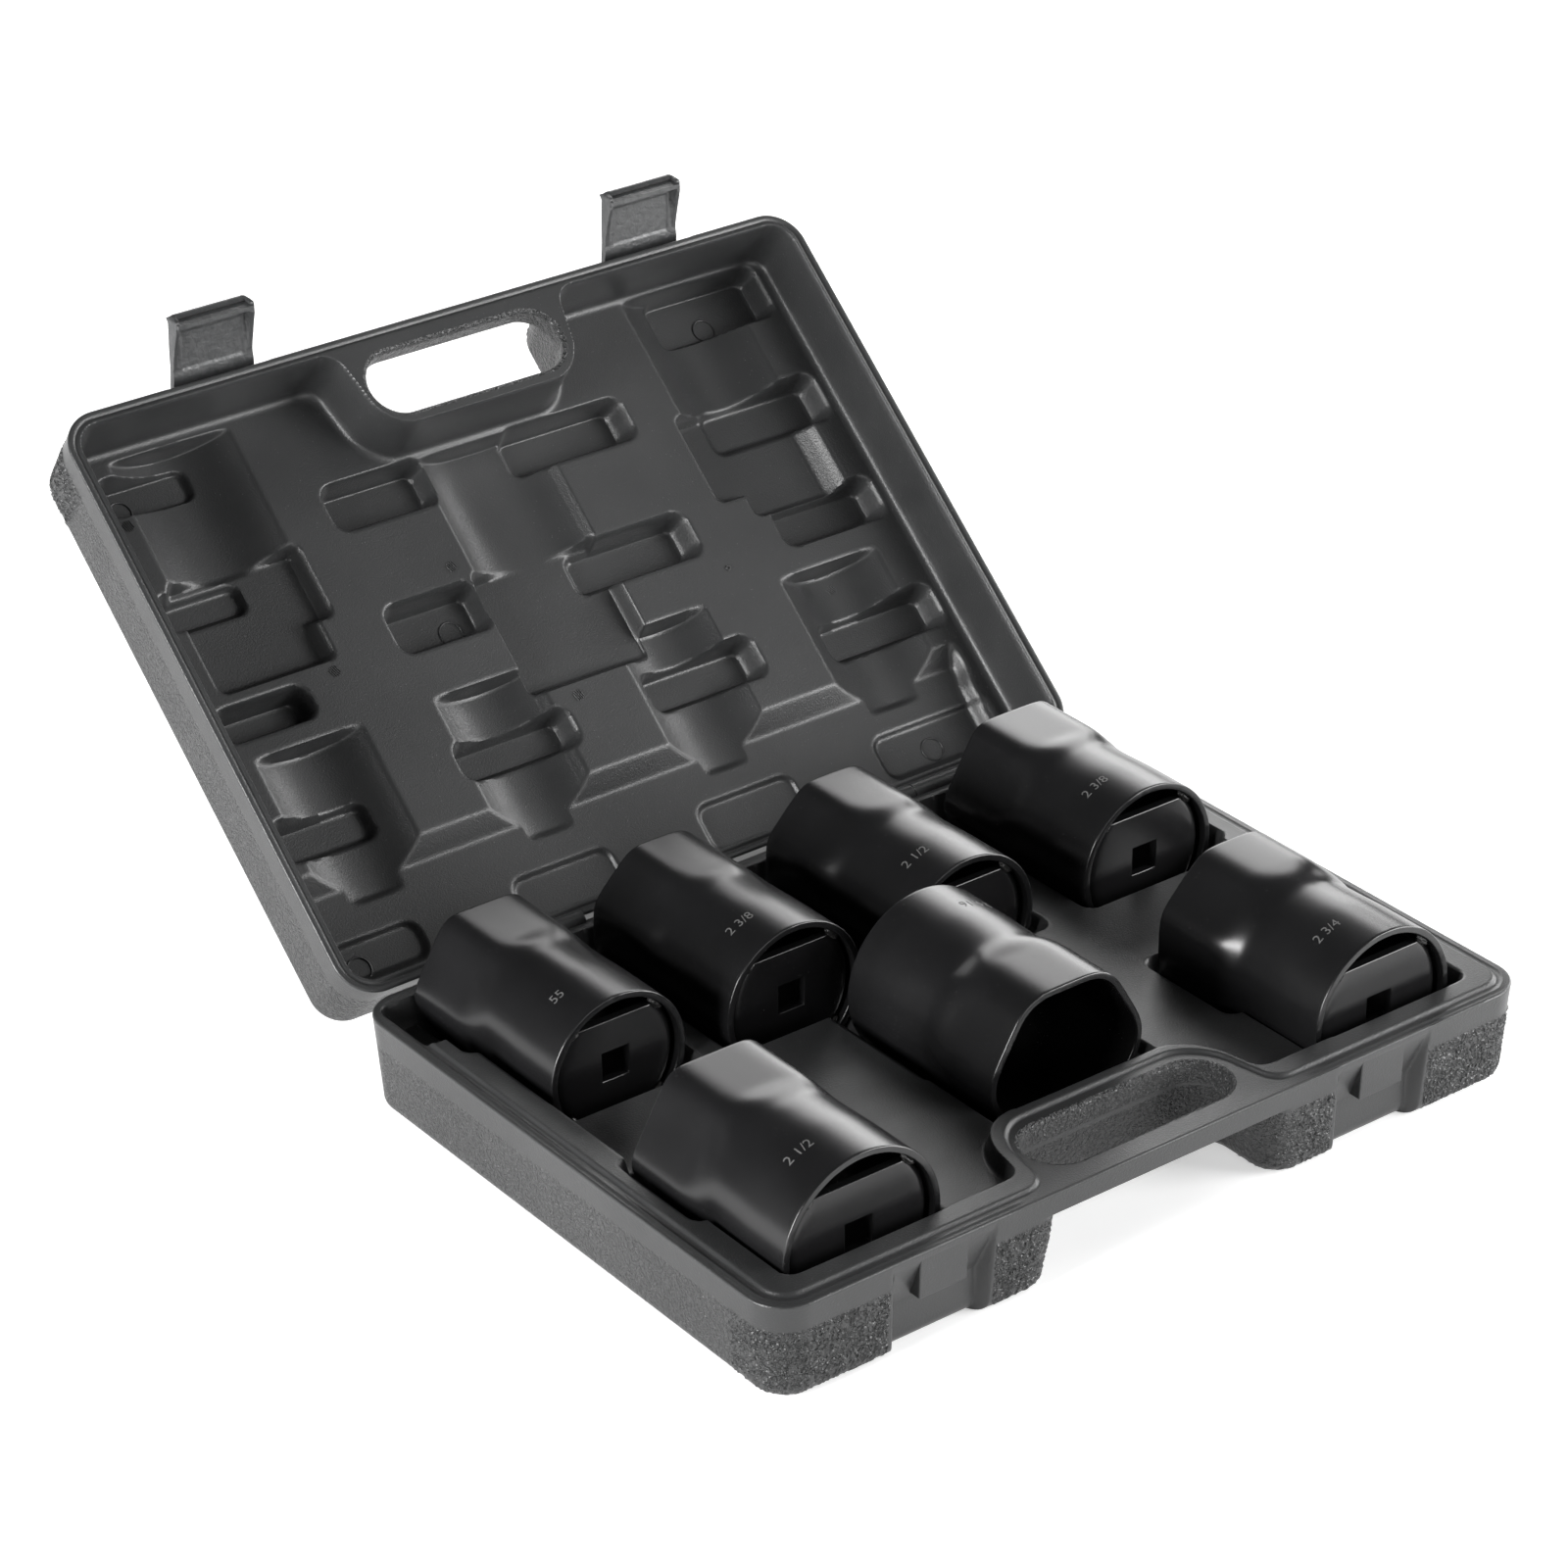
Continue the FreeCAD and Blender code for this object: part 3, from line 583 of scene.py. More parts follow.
PLASTIC, LATCH, BLACK, WELD = case_plastic(), latch_plastic(), socket_black(), weld_black()
MARK, STEEL, FLOOR = mark_grey(), pin_steel(), floor_white()


# ---- outlines of the case
def line(p, q, count):
    t = np.arange(count)[:, None] / count
    return np.array(p) * (1 - t) + np.array(q) * t


def arc(cx, cy, r, start, end, count):
    a = np.radians(start + (end - start) * np.arange(count) / count)
    return np.stack([cx + r * np.cos(a), cy + r * np.sin(a)], -1)


def sides_and_back(x, y, r, front_steps, side_steps, back_steps):
    """The case's outline without its front: right corner, right side, back, left side, left corner."""
    return [arc(x - r, -y + r, r, -90, 0, front_steps), line((x, -y + r), (x, y - r), side_steps),
            arc(x - r, y - r, r, 0, 90, 20), line((x - r, y), (-x + r, y), back_steps),
            arc(-x + r, y - r, r, 90, 180, 20), line((-x, y - r), (-x, -y + r), side_steps),
            arc(-x + r, -y + r, r, 180, 270, front_steps)]


def rim_outline(inset):
    """Closed outline of the case, from the front left corner round by the right."""
    x, y, r = HALF_X - inset, HALF_Y - inset, CORNER_R - inset
    return np.concatenate([line((-x + r, -y), (x - r, -y), 460), *sides_and_back(x, y, r, 20, 150, 230)])


def notched_outline(inset, up):
    """The same outline with the notch under the grip; up is 0 at the floor and 1 at the grip."""
    x, y, r = HALF_X - inset, HALF_Y - inset, CORNER_R - inset
    extra = inset - DRAFT * (1 - up)
    half = NOTCH_END + (NOTCH_TOP - NOTCH_END) * up + extra
    back = NOTCH_BACK + NOTCH_LEAN * (1 - up) + extra
    outer_r = NOTCH_R - extra
    inner_r = SLOT_R
    return np.concatenate([
        line((-x + r, -y), (-half - outer_r, -y), 300),
        arc(-half - outer_r, -y + outer_r, outer_r, -90, 0, 18),
        line((-half, -y + outer_r), (-half, back - inner_r), 12),
        arc(-half + inner_r, back - inner_r, inner_r, 180, 90, 18),
        line((-half + inner_r, back), (half - inner_r, back), 60),
        arc(half - inner_r, back - inner_r, inner_r, 90, 0, 18),
        line((half, back - inner_r), (half, -y + outer_r), 12),
        arc(half + outer_r, -y + outer_r, outer_r, 180, 270, 18),
        line((half + outer_r, -y), (x - r, -y), 300),
        *sides_and_back(x, y, r, 52, 260, 120)])


def base_dent(x, z, floor_inset):
    """Wall face inside the base's latch recess at height z above the floor."""
    across = np.abs(np.abs(x) - LATCH_X)
    down = (RECESS_TOP - z) / RECESS_SLOPE
    start = -HALF_Y + 0.2
    bed = start + (RECESS_Y - start) * np.clip(down, -1.0, 1.0) + floor_inset
    side = -HALF_Y + (RECESS_HALF - across) * RECESS_SIDE
    return soft_min(bed, side, 1.2)


def lid_dent(x, z, floor_inset):
    """Wall face inside the lid's latch recess at height z above the lid's floor."""
    across = np.abs(np.abs(x) - LATCH_X)
    bed = -HALF_Y + (LID_RECESS_Y + HALF_Y) * ramp(LID_H - LEDGE_H - z, 0.8) + floor_inset
    side = -HALF_Y + (RECESS_HALF - across) * LID_RECESS_SIDE
    return soft_min(bed, side, 0.8)


def dented(points, z, floor_inset, dent):
    """An outline's points, with the front wall pushed into the latch recesses."""
    x, y = points[:, 0], points[:, 1]
    here = (y < -HALF_Y + DRAFT + FLOOR_R + 2) & (np.abs(np.abs(x) - LATCH_X) < RECESS_HALF + 1.5)
    wanted = dent(x, z, floor_inset)
    deeper = -soft_min(-y, -wanted, 0.8)
    y[here] = np.where(wanted > y - 1.0, deeper, y)[here]
    return points


def worm_relief(points, z):
    """Height of the worm-like grain on the wall blocks."""
    field = np.array([noise.noise(Vector((x, y, z)) * WORM_PITCH) for x, y in points])
    ridge = np.clip(1.1 - 6.0 * np.abs(field), 0, 1)
    return WORM_H * ridge * ridge * (3 - 2 * ridge)


def at_height(ring, z):
    return np.column_stack([ring, np.full(len(ring), z)])


def rounded_rect(x0, x1, y0, y1, r):
    return np.concatenate([
        arc(x0 + r, y0 + r, r, 180, 270, 10), arc(x1 - r, y0 + r, r, 270, 360, 10),
        arc(x1 - r, y1 - r, r, 0, 90, 10), arc(x0 + r, y1 - r, r, 90, 180, 10)])


def panelled_floor(outline):
    """Flat floor inside the outline, with a grooved frame round each panel."""
    loops, parts = [outline], []
    for x0, x1, y0, y1 in PANELS:
        rings = []
        for inset, z in PANEL_FRAME:
            ring = rounded_rect(x0 + inset, x1 - inset, y0 + inset, y1 - inset, PANEL_R - inset)
            rings.append(at_height(ring, z))
        loops.append(rings[0])
        verts, faces = loft(rings, (0, 0, -1))
        count = len(rings[0])
        middle = list(range(count * (len(rings) - 1), count * len(rings)))
        parts.append((verts.reshape(-1, 3), faces.tolist() + [middle[::-1]]))
    triangles = tessellate_polygon([[Vector(p) for p in loop] for loop in loops])
    verts = np.concatenate(loops)
    parts.append((verts, facing(verts, np.array(triangles), (0, 0, -1))))
    return parts


def outer_wall(height, dent):
    """Outside of one half standing on its floor: rim edge, walls, grip, notch, floor. With grain."""
    def lean(z):
        return DRAFT * (1 - z / height)

    grip = height - GRIP_H
    levels = [(height - RIM_R + RIM_R * math.cos(a), lean(height) + RIM_R * (1 - math.sin(a)))
              for a in np.radians([0, 25, 50, 70, 90])]
    levels += [(z, lean(z)) for z in np.linspace(height - RIM_R, grip, 13)[1:]]
    verts, faces = loft([at_height(dented(rim_outline(inset), z, 0.0, dent), z) for z, inset in levels])
    parts, grains = [(verts, faces)], [np.zeros(verts.size // 3)]

    levels = [(z, 0.0) for z in np.linspace(grip, FLOOR_R, 64)]
    levels += quarter_round(FLOOR_R, np.linspace(0, 90, 9))[1:]
    rings = []
    for z, extra in levels:
        ring = dented(notched_outline(lean(z) + extra, min(z / grip, 1.0)), z, extra, dent)
        x, y = ring[:, 0], ring[:, 1]
        near_front = y < -HALF_Y + 30
        in_recess = (np.abs(np.abs(x) - LATCH_X) < RECESS_HALF + 0.5) & near_front
        in_notch = (np.abs(x) < NOTCH_END + 1) & (y < NOTCH_BACK + 8)
        zone = float(ramp(height - (BASE_H - GRAIN_TOP) - z, 1.0)) * float(ramp(z - 1.0, 2.0))
        coarse = near_front & ~in_recess & ~in_notch
        grains.append(np.where(coarse, 1.0, np.where(in_recess, 0.0, SIDE_GRAIN)) * zone)
        relief = np.where(coarse, worm_relief(ring, z), 0.0) * zone
        along = np.roll(ring, -1, 0) - np.roll(ring, 1, 0)
        length = np.maximum(np.hypot(along[:, 0], along[:, 1]), 1e-6)
        outward = np.column_stack([along[:, 1], -along[:, 0]]) / length[:, None]
        rings.append(at_height(ring + outward * relief[:, None], z))
    verts, faces = loft(rings)
    parts.append((verts, faces))

    for floor_part in panelled_floor(verts[-1].copy()):
        parts.append(floor_part)
        grains.append(np.full(len(floor_part[0]), FLOOR_GRAIN))
    parts.append(grip_underside(verts[0], grip))
    grains.append(np.zeros(len(parts[-1][0])))
    return parts, grains


def grip_underside(top, z):
    """Flat face between the front wall, the notch and the finger slot; top is the wall's upper ring."""
    notch = (top[:, 1] < 0) & (np.abs(top[:, 0]) > 40.0) & (np.abs(top[:, 0]) < NOTCH_TOP + NOTCH_R + 0.01)
    ends = top[notch]
    c, r = SLOT_HALF - SLOT_R, SLOT_R + SLOT_EDGE_BELOW
    slot_front = np.concatenate([
        arc(-c, SLOT_Y, r, 105, 270, 36), line((-c, SLOT_Y - r), (c, SLOT_Y - r), 48),
        arc(c, SLOT_Y, r, 270, 435, 36)])
    verts = np.concatenate([ends[ends[:, 0] < 0], at_height(slot_front, z), ends[ends[:, 0] > 0]])
    triangles = tessellate_polygon([[Vector(p) for p in verts]])
    return verts, facing(verts, np.array(triangles), (0, 0, -1))


def slot_wall(top, grip):
    """Wall of the finger slot with rounded edges, standing on the grip's underside."""
    levels = [(top - along, grow) for along, grow in quarter_round(SLOT_EDGE, [90, 65, 42, 20, 0])]
    levels += [(z, 0.0) for z in np.linspace(top - SLOT_EDGE, grip + SLOT_EDGE_BELOW, 7)[1:]]
    levels += [(grip + along, grow) for along, grow in quarter_round(SLOT_EDGE_BELOW, [30, 60, 90])]
    c = SLOT_HALF - SLOT_R
    rings = []
    for z, grow in levels:
        r = SLOT_R + grow
        ring = np.concatenate([
            line((-c, SLOT_Y - r), (c, SLOT_Y - r), 40), arc(c, SLOT_Y, r, -90, 90, 40),
            line((c, SLOT_Y + r), (-c, SLOT_Y + r), 40), arc(-c, SLOT_Y, r, 90, 270, 40)])
        rings.append(at_height(ring, z))
    verts, faces = loft(rings)
    return verts, faces[:, ::-1]


def skin(height_at, fine, way):
    """Inner skin as a height field cut to the rim outline and the finger slot."""
    xs = grid_lines(-HALF_X, HALF_X, SKIN_PITCH, fine, FINE_X)
    ys = grid_lines(-HALF_Y, HALF_Y, SKIN_PITCH, fine, FINE_Y)
    x, y = np.meshgrid(xs, ys, indexing="ij")
    z = blur(height_at(x, y))
    rim = in_rim(x, y) - RIM_R
    slot = -in_slot(x, y, SLOT_EDGE)
    faces = grid_faces(len(xs), len(ys))
    for field in (rim, slot):
        outside = field.ravel() < 0
        faces = faces[~outside[faces].all(axis=1)]
    for field in (rim, slot):
        gx, gy = np.gradient(field, xs, ys)
        size = np.maximum(np.hypot(gx, gy), 1e-6)
        pull = np.where(field < 0, -field, 0.0) / size
        near = field > -4.0
        x = np.where(near, x + gx / size * pull, x)
        y = np.where(near, y + gy / size * pull, y)
    verts = np.stack([x, y, z], -1)
    return verts, facing(verts.reshape(-1, 3), faces, way)


# ---- inner skin of the base
# cradles of the sockets, made of rectangles: x from, x to, y from, y to
POCKETS = [
    ("socket_55mm", [(-170.5, -98.3, 25.0, 130.2), (-184.0, -150.0, 94.0, 130.2),
                     (-175.5, -150.0, 78.0, 100.0)]),
    ("socket_2_3_8_eight", [(-85.7, -12.3, 25.0, 130.2)]),
    ("socket_2_1_2_eight", [(1.6, 77.0, 25.0, 130.2)]),
    ("socket_2_3_8_six", [(98.0, 174.0, 25.0, 130.2)]),
    ("socket_2_9_16_six", [(-39.4, 46.0, -38.0, 26.0), (-37.5, 46.0, -84.0, -30.0)]),
    ("socket_2_3_4_eight", [(86.9, 172.5, -74.0, -21.5), (93.5, 171.0, -120.6, -60.0)]),
    ("socket_2_1_2_six", [(-176.0, -92.5, -72.0, -21.0), (-171.0, -92.5, -120.6, -60.0)]),
]


def in_handle(x, y, middle, *rect):
    """Distance inside a handle's rectangle, whose sides flare towards the front from FLARE_FROM on."""
    off = x - middle
    past = FLARE_FROM - y
    ease = 6.0
    grown = HANDLE_FLARE * np.where(past > ease, past, np.clip(past + ease, 0, None) ** 2 / (4 * ease))
    return in_rect(middle + np.sign(off) * np.maximum(np.abs(off) - grown, 0), y, *rect)


def base_skin_height(x, y):
    """Upper face of the base: rim with its bead, raised strip, deck and cradles."""
    rim = in_rim(x, y)
    strip = soft_min(rim - STRIP_IN, -in_handle(x, y, *BASE_HANDLE), HANDLE_BLEND)
    z = BASE_H + (STRIP_TOP - BASE_H) * ramp(strip - 0.5, 1.0)
    along_grip = ramp(74.0 - np.abs(x), 8.0) * ramp(-116.0 - y, 8.0)
    z = z + BEAD_H * np.exp(-((rim - BEAD_IN) / 0.5) ** 2) * (1 - along_grip)
    deck = soft_min(in_rect(x, y, *DECK_RECT), -in_handle(x, y, *DECK_HANDLE), 7.0)
    z = z - wall_depth(deck, STRIP_TOP - DECK_Z, 0.8, 1.6)
    for name, rects in POCKETS:
        centre, axis = socket_place(name)[:2]
        sides, radius, flats, corner = SOCKETS[name][:4]
        tip = (flats / 2 - corner) / math.cos(math.pi / sides) + corner
        reach = max(radius, tip) + 0.5
        drop = np.sqrt(np.clip(reach ** 2 - (x - centre) ** 2, 0, None))
        bed = np.clip(axis - drop, axis - max(radius, flats / 2) - 0.3, axis - 13.0)
        for rect in rects:
            z = z + (np.minimum(z, bed) - z) * ramp(in_rect(x, y, *rect, 5.0) - 0.4, 2.2)
    return z


# ---- inner skin of the lid (closed)
# arched recesses over the tubes: centre x, half width, y from, y to, depth at the crown
LID_ARCHES = [
    (-138.5, 26.5, 19.5, 90.0, 9.6), (-51.0, 25.5, 19.5, 90.0, 9.2),
    (41.6, 25.0, 19.5, 90.0, 9.2), (134.6, 27.0, 19.5, 90.0, 9.8),
    (-133.0, 29.5, -124.5, -62.0, 10.2), (131.5, 28.0, -127.5, -65.0, 10.0),
]
# flat-floored recesses over the formed ends: x from, x to, y from, y to, depth
LID_BOXES = [
    (-31.8, 34.5, -28.0, 32.0, 9.4), (-164.0, -99.8, -65.5, -30.0, 8.8), (-164.0, -108.0, -50.0, -12.0, 8.8),
    (99.8, 165.5, -67.5, -23.5, 9.9), (114.0, 165.5, -45.0, -12.0, 9.9),
]
FINGER_DEPTH = 12.7
BARREL = (2.5, 31.5, -85.5, -24.0, 9.4)     # long arched recess: centre x, half width, y from, y to, depth
# finger slots: x from, x to, y from, y to
FINGERS = [
    (-78.0, -26.5, -86.0, -64.0), (15.0, 78.0, -86.0, -65.0), (-78.0, -32.0, -25.5, -3.0),
    (17.0, 79.0, -25.5, -4.0), (-79.0, -21.0, 41.0, 59.0), (21.0, 79.0, 38.0, 58.0),
    (116.0, 176.5, 43.0, 63.5), (121.0, 176.5, -14.0, 6.5), (116.0, 176.5, -69.0, -46.0),
    (117.0, 176.5, -127.0, -101.0), (-172.0, -124.0, 47.5, 66.5), (-172.0, -128.0, -5.5, 9.5),
    (-172.0, -129.0, -61.0, -44.5), (-172.0, -126.0, -118.0, -100.0),
]
# shallow slots in the floor of the band
BAND_SLOTS = [(-171.0, -129.0, 104.5, 121.0), (-80.5, -30.5, 104.0, 124.0), (17.0, 68.0, 102.0, 124.0),
              (114.0, 174.0, 101.0, 121.5)]
# raised rings on the recess floors: x, y, depth of the floor
RINGS = [(-46.5, -9.5, 41.2), (145.0, -108.0, 41.2), (-161.5, -106.0, 41.2), (-161.0, 116.0, 37.7),
         (142.0, 114.0, 37.7)]
RING_R = 5.3
RING_THICK = 0.42
PINHOLE = (86.5, 6.7, 28.5)     # x, y, depth of the deck there
# vent plugs: x, y, lean of their ridges in radians
VENTS = [(-112.0, -6.0, 1.2), (-12.0, 39.0, 1.3), (-38.0, -34.0, 1.2), (-167.0, -95.0, 1.3),
         (129.0, 32.0, 1.1)]
VENT_R = 2.7
VENT_PITCH = 0.95


def lid_skin_height(x, y):
    """Inner face of the closed lid: rim with its groove, wall, deck and everything sunk into the deck."""
    rim = in_rim(x, y)
    groove = GROOVE_H * np.exp(-((rim - BEAD_IN) / 0.62) ** 2)
    cavity = soft_min(rim - LID_WALL, -in_handle(x, y, *LID_HANDLE), HANDLE_BLEND)
    deck = wall_depth(cavity, LID_DEPTH, 1.6, 4.0)
    extra = np.zeros_like(deck)
    for (cx, half, y0, y1, crown), power in [(arch, 2) for arch in LID_ARCHES] + [(BARREL, 3)]:
        u = np.clip(np.abs(x - cx) / half, 0, 1)
        extra = np.maximum(extra, crown * (1 - u ** power) * ramp(y - y0 - 0.8, 2.2) * ramp(y1 - y, 2.2))
    for x0, x1, y0, y1, floor in LID_BOXES:
        sloped = np.clip((x1 + 1.0 - x) / (9.0 if x1 > 100 else 2.5), 0, 1)
        extra = np.maximum(extra, floor * ramp(in_rect(x, y, x0, x1, y0, y1, 4.0) - 0.8, 2.6) * sloped)
    for rect in FINGERS:
        extra = np.maximum(extra, FINGER_DEPTH * ramp(in_rect(x, y, *rect, 6.0) - 0.8, 3.4))
    right = BAND_RIGHT - 2 * ramp(y - 90, 12)
    band = np.clip((y - BAND_FRONT) / BAND_SLOPE, 0, 1) * ramp(right - x, 3.0) * ramp(x - BAND_LEFT, 3.0)
    extra = np.maximum(extra, (BAND_DEPTH - LID_DEPTH) * band)
    for rect in BAND_SLOTS:
        extra = extra + BAND_SLOT_DEPTH * ramp(in_rect(x, y, *rect, 6.0), 1.8)
    extra = extra + BAND_STEP * ramp(y - BAND_STEP_Y, 1.5) * band
    inner = np.clip((cavity - 0.8) / 2.4, 0, 1)
    return PARTING + RIM_GAP + groove + deck + extra * inner


def half_parts(inner, height, dent):
    """Outer parts of one half standing on its floor, and the grain of the whole half."""
    walls, grains = outer_wall(height, dent)
    slot = slot_wall(height, height - GRIP_H)
    grain = [np.zeros(inner[0].size // 3), *grains, np.full(slot[0].size // 3, SIDE_GRAIN)]
    return [*walls, slot], np.concatenate(grain)


def case_base():
    top = skin(base_skin_height, 0.5, (0, 0, 1))
    parts, grain = half_parts(top, BASE_H, base_dent)
    piece = build("case_base", [top, *parts], PLASTIC, "base", grain=grain)
    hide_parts("base_outer_shell", "base_inner_tray")


def case_lid():
    inner = skin(lid_skin_height, 0.4, (0, 0, -1))
    standing, grain = half_parts(inner, LID_H - RIM_GAP, lid_dent)
    parts = [(open_lid(inner[0]), inner[1])]
    for verts, faces in standing:
        flipped = verts * np.array([1.0, 1.0, -1.0]) + np.array([0.0, 0.0, PARTING + LID_H])
        turned = faces[:, ::-1] if isinstance(faces, np.ndarray) else [f[::-1] for f in faces]
        parts.append((open_lid(flipped), turned))
    piece = build("case_lid", parts, PLASTIC, "lid", grain=grain)
    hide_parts("lid_outer_shell", "lid_inner_tray")


def prism(name, outline, x0, x1, body, edge):
    """Bevelled solid with a (y, z) outline, running along X; one on the lid is turned open with it."""
    ring = np.array(outline)
    count = len(ring)
    verts = np.concatenate([np.column_stack([np.full(count, x), ring]) for x in (x0, x1)])
    if body == "lid":
        verts = open_lid(verts)
    faces = grid_faces(2, count, wrap_cols=True).tolist()
    faces += [list(range(count)), list(range(count, 2 * count))[::-1]]
    piece = build(name, [(verts, faces)], PLASTIC, body)
    outwards(piece)
    bevel(piece, edge)


def hinge_knuckles():
    """Round knuckles with their webs, three to a hinge."""
    c = KNUCKLE_R * math.sqrt(0.5)
    round_part = [(HINGE_Y + KNUCKLE_R * math.cos(a), HINGE_Z + KNUCKLE_R * math.sin(a))
                  for a in np.radians(np.arange(-30, 181, 15))]
    web = HALF_Y - 3.0
    outline = [(web, HINGE_Z - 9.8), (HINGE_Y + c, HINGE_Z - c), *round_part, (web, HINGE_Z)]
    mirrored = [(y, 2 * HINGE_Z - z) for y, z in outline]
    near, far = KNUCKLE_HALF + KNUCKLE_GAP, KNUCKLE_HALF + KNUCKLE_GAP + LEAF_LEN
    for side, word in SIDES:
        at = side * HINGE_X
        prism(f"hinge_knuckle_base_{word}", outline, at - KNUCKLE_HALF, at + KNUCKLE_HALF, "base", 0.5)
        for tag, x0, x1 in (("a", at - far, at - near), ("b", at + near, at + far)):
            prism(f"hinge_knuckle_lid_{word}_{tag}", mirrored, x0, x1, "lid", 0.5)


def catches():
    """Wedges in the base's recesses that the latches' lips snap under."""
    outline = [(-136.1, 21.5), (-136.9, 40.2), (-129.0, 40.2), (-129.0, 21.5)]
    for side, word in SIDES:
        at = side * LATCH_X
        prism(f"catch_{word}", outline, at - CATCH_HALF, at + CATCH_HALF, "base", 0.45)


def parting_flash():
    """Ragged thread of flash along the base's front edge, left where the two mould halves met."""
    front = -HALF_Y
    sections = []
    for x in np.arange(-80.0, 165.0, 0.4):
        ragged = noise.noise(Vector((x * 1.3, 0, 0))) + 0.6 * noise.noise(Vector((x * 3.1, 5, 0)))
        off_latch = ramp(abs(x - LATCH_X) - 25.0, 4.0)
        fade = float(ramp(x + 74.0, 14.0) * ramp(158.0 - x, 40.0) * off_latch)
        out = max(0.03, (0.50 + 0.42 * ragged) * fade)
        tip = (x + 0.3 * ragged, front + 0.15 - 0.75 * out, 42.7 + 0.3 * out)
        sections.append([(x, front + 0.8, 42.75), tip, (x, front + 0.2, 42.1)])
    verts = np.array(sections)
    faces = grid_faces(len(verts), 3, wrap_cols=True).tolist()
    last = 3 * (len(verts) - 1)
    faces += [[0, 1, 2], [last + 2, last + 1, last]]
    outwards(build("parting_flash", [(verts, faces)], PLASTIC, "base", sharp=60))


def vent_marks():
    """Small vent plugs in the lid's deck: a fine grille of ridges inside a circle each."""
    faces = [[0, 1, 2, 3], [7, 6, 5, 4], [0, 4, 5, 1], [1, 5, 6, 2], [2, 6, 7, 3], [3, 7, 4, 0]]
    parts = []
    for cx, cy, lean in VENTS:
        c, s = math.cos(lean), math.sin(lean)
        for off in VENT_PITCH * np.arange(-2, 3):
            half = math.sqrt(VENT_R ** 2 - off ** 2) * 0.92
            ridge = np.array([(x * half, off + y * w, d) for d, w in ((0.05, 0.30), (-0.28, 0.14))
                              for x, y in ((-1, -1), (1, -1), (1, 1), (-1, 1))])
            x, y = ridge[:, 0], ridge[:, 1]
            z = PARTING + LID_DEPTH + ridge[:, 2]
            place = np.column_stack([cx + c * x - s * y, cy + s * x + c * y, z])
            parts.append((open_lid(place), faces))
    outwards(build("lid_vent_marks", parts, PLASTIC, "lid"))


def ring_marks():
    """Raised rings on the recess floors, and the burr round a pinhole in the deck."""
    around, across = np.meshgrid(np.linspace(0, 2 * math.pi, 64, endpoint=False),
                                 np.linspace(0, 2 * math.pi, 8, endpoint=False), indexing="ij")
    parts = []
    for mark, radius, thick in [(ring, RING_R, RING_THICK) for ring in RINGS] + [(PINHOLE, 0.9, 0.45)]:
        cx, cy, floor = mark
        out = radius + thick * np.cos(across)
        place = np.stack([cx + out * np.cos(around), cy + out * np.sin(around),
                          PARTING + floor - 0.05 + thick * np.sin(across)], -1)
        parts.append((open_lid(place), grid_faces(64, 8, wrap_rows=True, wrap_cols=True)))
    outwards(build("lid_ring_marks", parts, PLASTIC, "lid", sharp=70))


# ---- latches
def bump_at(z, middle, width):
    return np.exp(-((z - middle) / width) ** 2)


def latch_profile(u, z):
    """Sideways place, outer face and inner face of the closed flap, for u from -1 to 1 across it."""
    down = (PIVOT_Z - z) / (PIVOT_Z - LATCH_END)
    half = LATCH_HALF - 0.25 * bump_at(down, 0.33, 0.16) - 0.9 * down
    near_end = np.clip((down - 0.94) / 0.06, 0, 1)
    x = u * (half - 2.2 * np.clip(1 - np.sqrt(np.clip(1 - near_end ** 2, 0, 1)), 0, 1))
    from_edge = (1 - np.abs(u)) * half
    barrel = np.sqrt(np.clip(BARREL_R ** 2 - (z - PIVOT_Z) ** 2, 0, None))
    on_plate = ramp(PIVOT_Z - 1.2 - z, 3.0)
    inner = (PIVOT_Y + barrel) * (1 - on_plate) + (LATCH_FACE + 0.3 * bump_at(down, 0.2, 0.07)) * on_plate
    outer = (PIVOT_Y - barrel) * (1 - on_plate) + (LATCH_FACE - LATCH_T) * on_plate
    flange = ramp(2.0 - from_edge, 0.8) * FLANGE_H * np.clip((down - 0.30) / 0.52, 0, 1) ** 1.3
    flange = flange * ramp(z - LATCH_END - 0.6, 1.0)
    lip = LIP_H * ramp(z - LIP_Z[0], 0.9) * ramp(LIP_Z[1] - z, 0.7) * ramp(from_edge - 0.2, 0.6)
    inner = inner + np.maximum(np.maximum(flange, lip), 1.6 * bump_at(z, 17.0, 0.6))
    panel = ramp(from_edge - 4.5, 1.2) * ramp(down - 0.30, 0.05) * ramp(0.78 - down, 0.05)
    inner = inner - 0.35 * panel
    outer = outer - 1.7 * bump_at(z, 17.4, 1.3) * on_plate
    tip = 0.7 * ramp(LATCH_END + 0.9 - z, 1.8)
    middle = (inner + outer) / 2
    return x, outer + (middle - outer) * tip, inner + (middle - inner) * tip


def latch(side, word):
    """Flap with a barrel on its pin, side flanges, a hook lip and a double ridge at the free end."""
    below_barrel = PIVOT_Z - BARREL_R - 1
    zs = np.concatenate([np.linspace(PIVOT_Z + BARREL_R, below_barrel, 22),
                         np.linspace(below_barrel, LATCH_END, 84)[1:]])
    u, z = np.meshgrid(np.linspace(-1, 1, 111), zs, indexing="ij")
    x, outer, inner = latch_profile(u, z)
    x = x + side * LATCH_X + LATCH_SHIFT
    rows, cols = u.shape
    verts, faces = thick_sheet(np.stack([x, outer, z], -1), np.stack([x, inner, z], -1),
                               grid_faces(rows, cols), [border(0, rows - 1, 0, cols - 1, cols)])
    verts = open_lid(turn(verts, PIVOT_Y, PIVOT_Z, math.radians(LATCH_SWING)))
    body = f"latch_{word}"
    piece = build(body + "_flap", [(verts, faces)], LATCH, body, merge=0.005)
    outwards(piece)
    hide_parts(body)


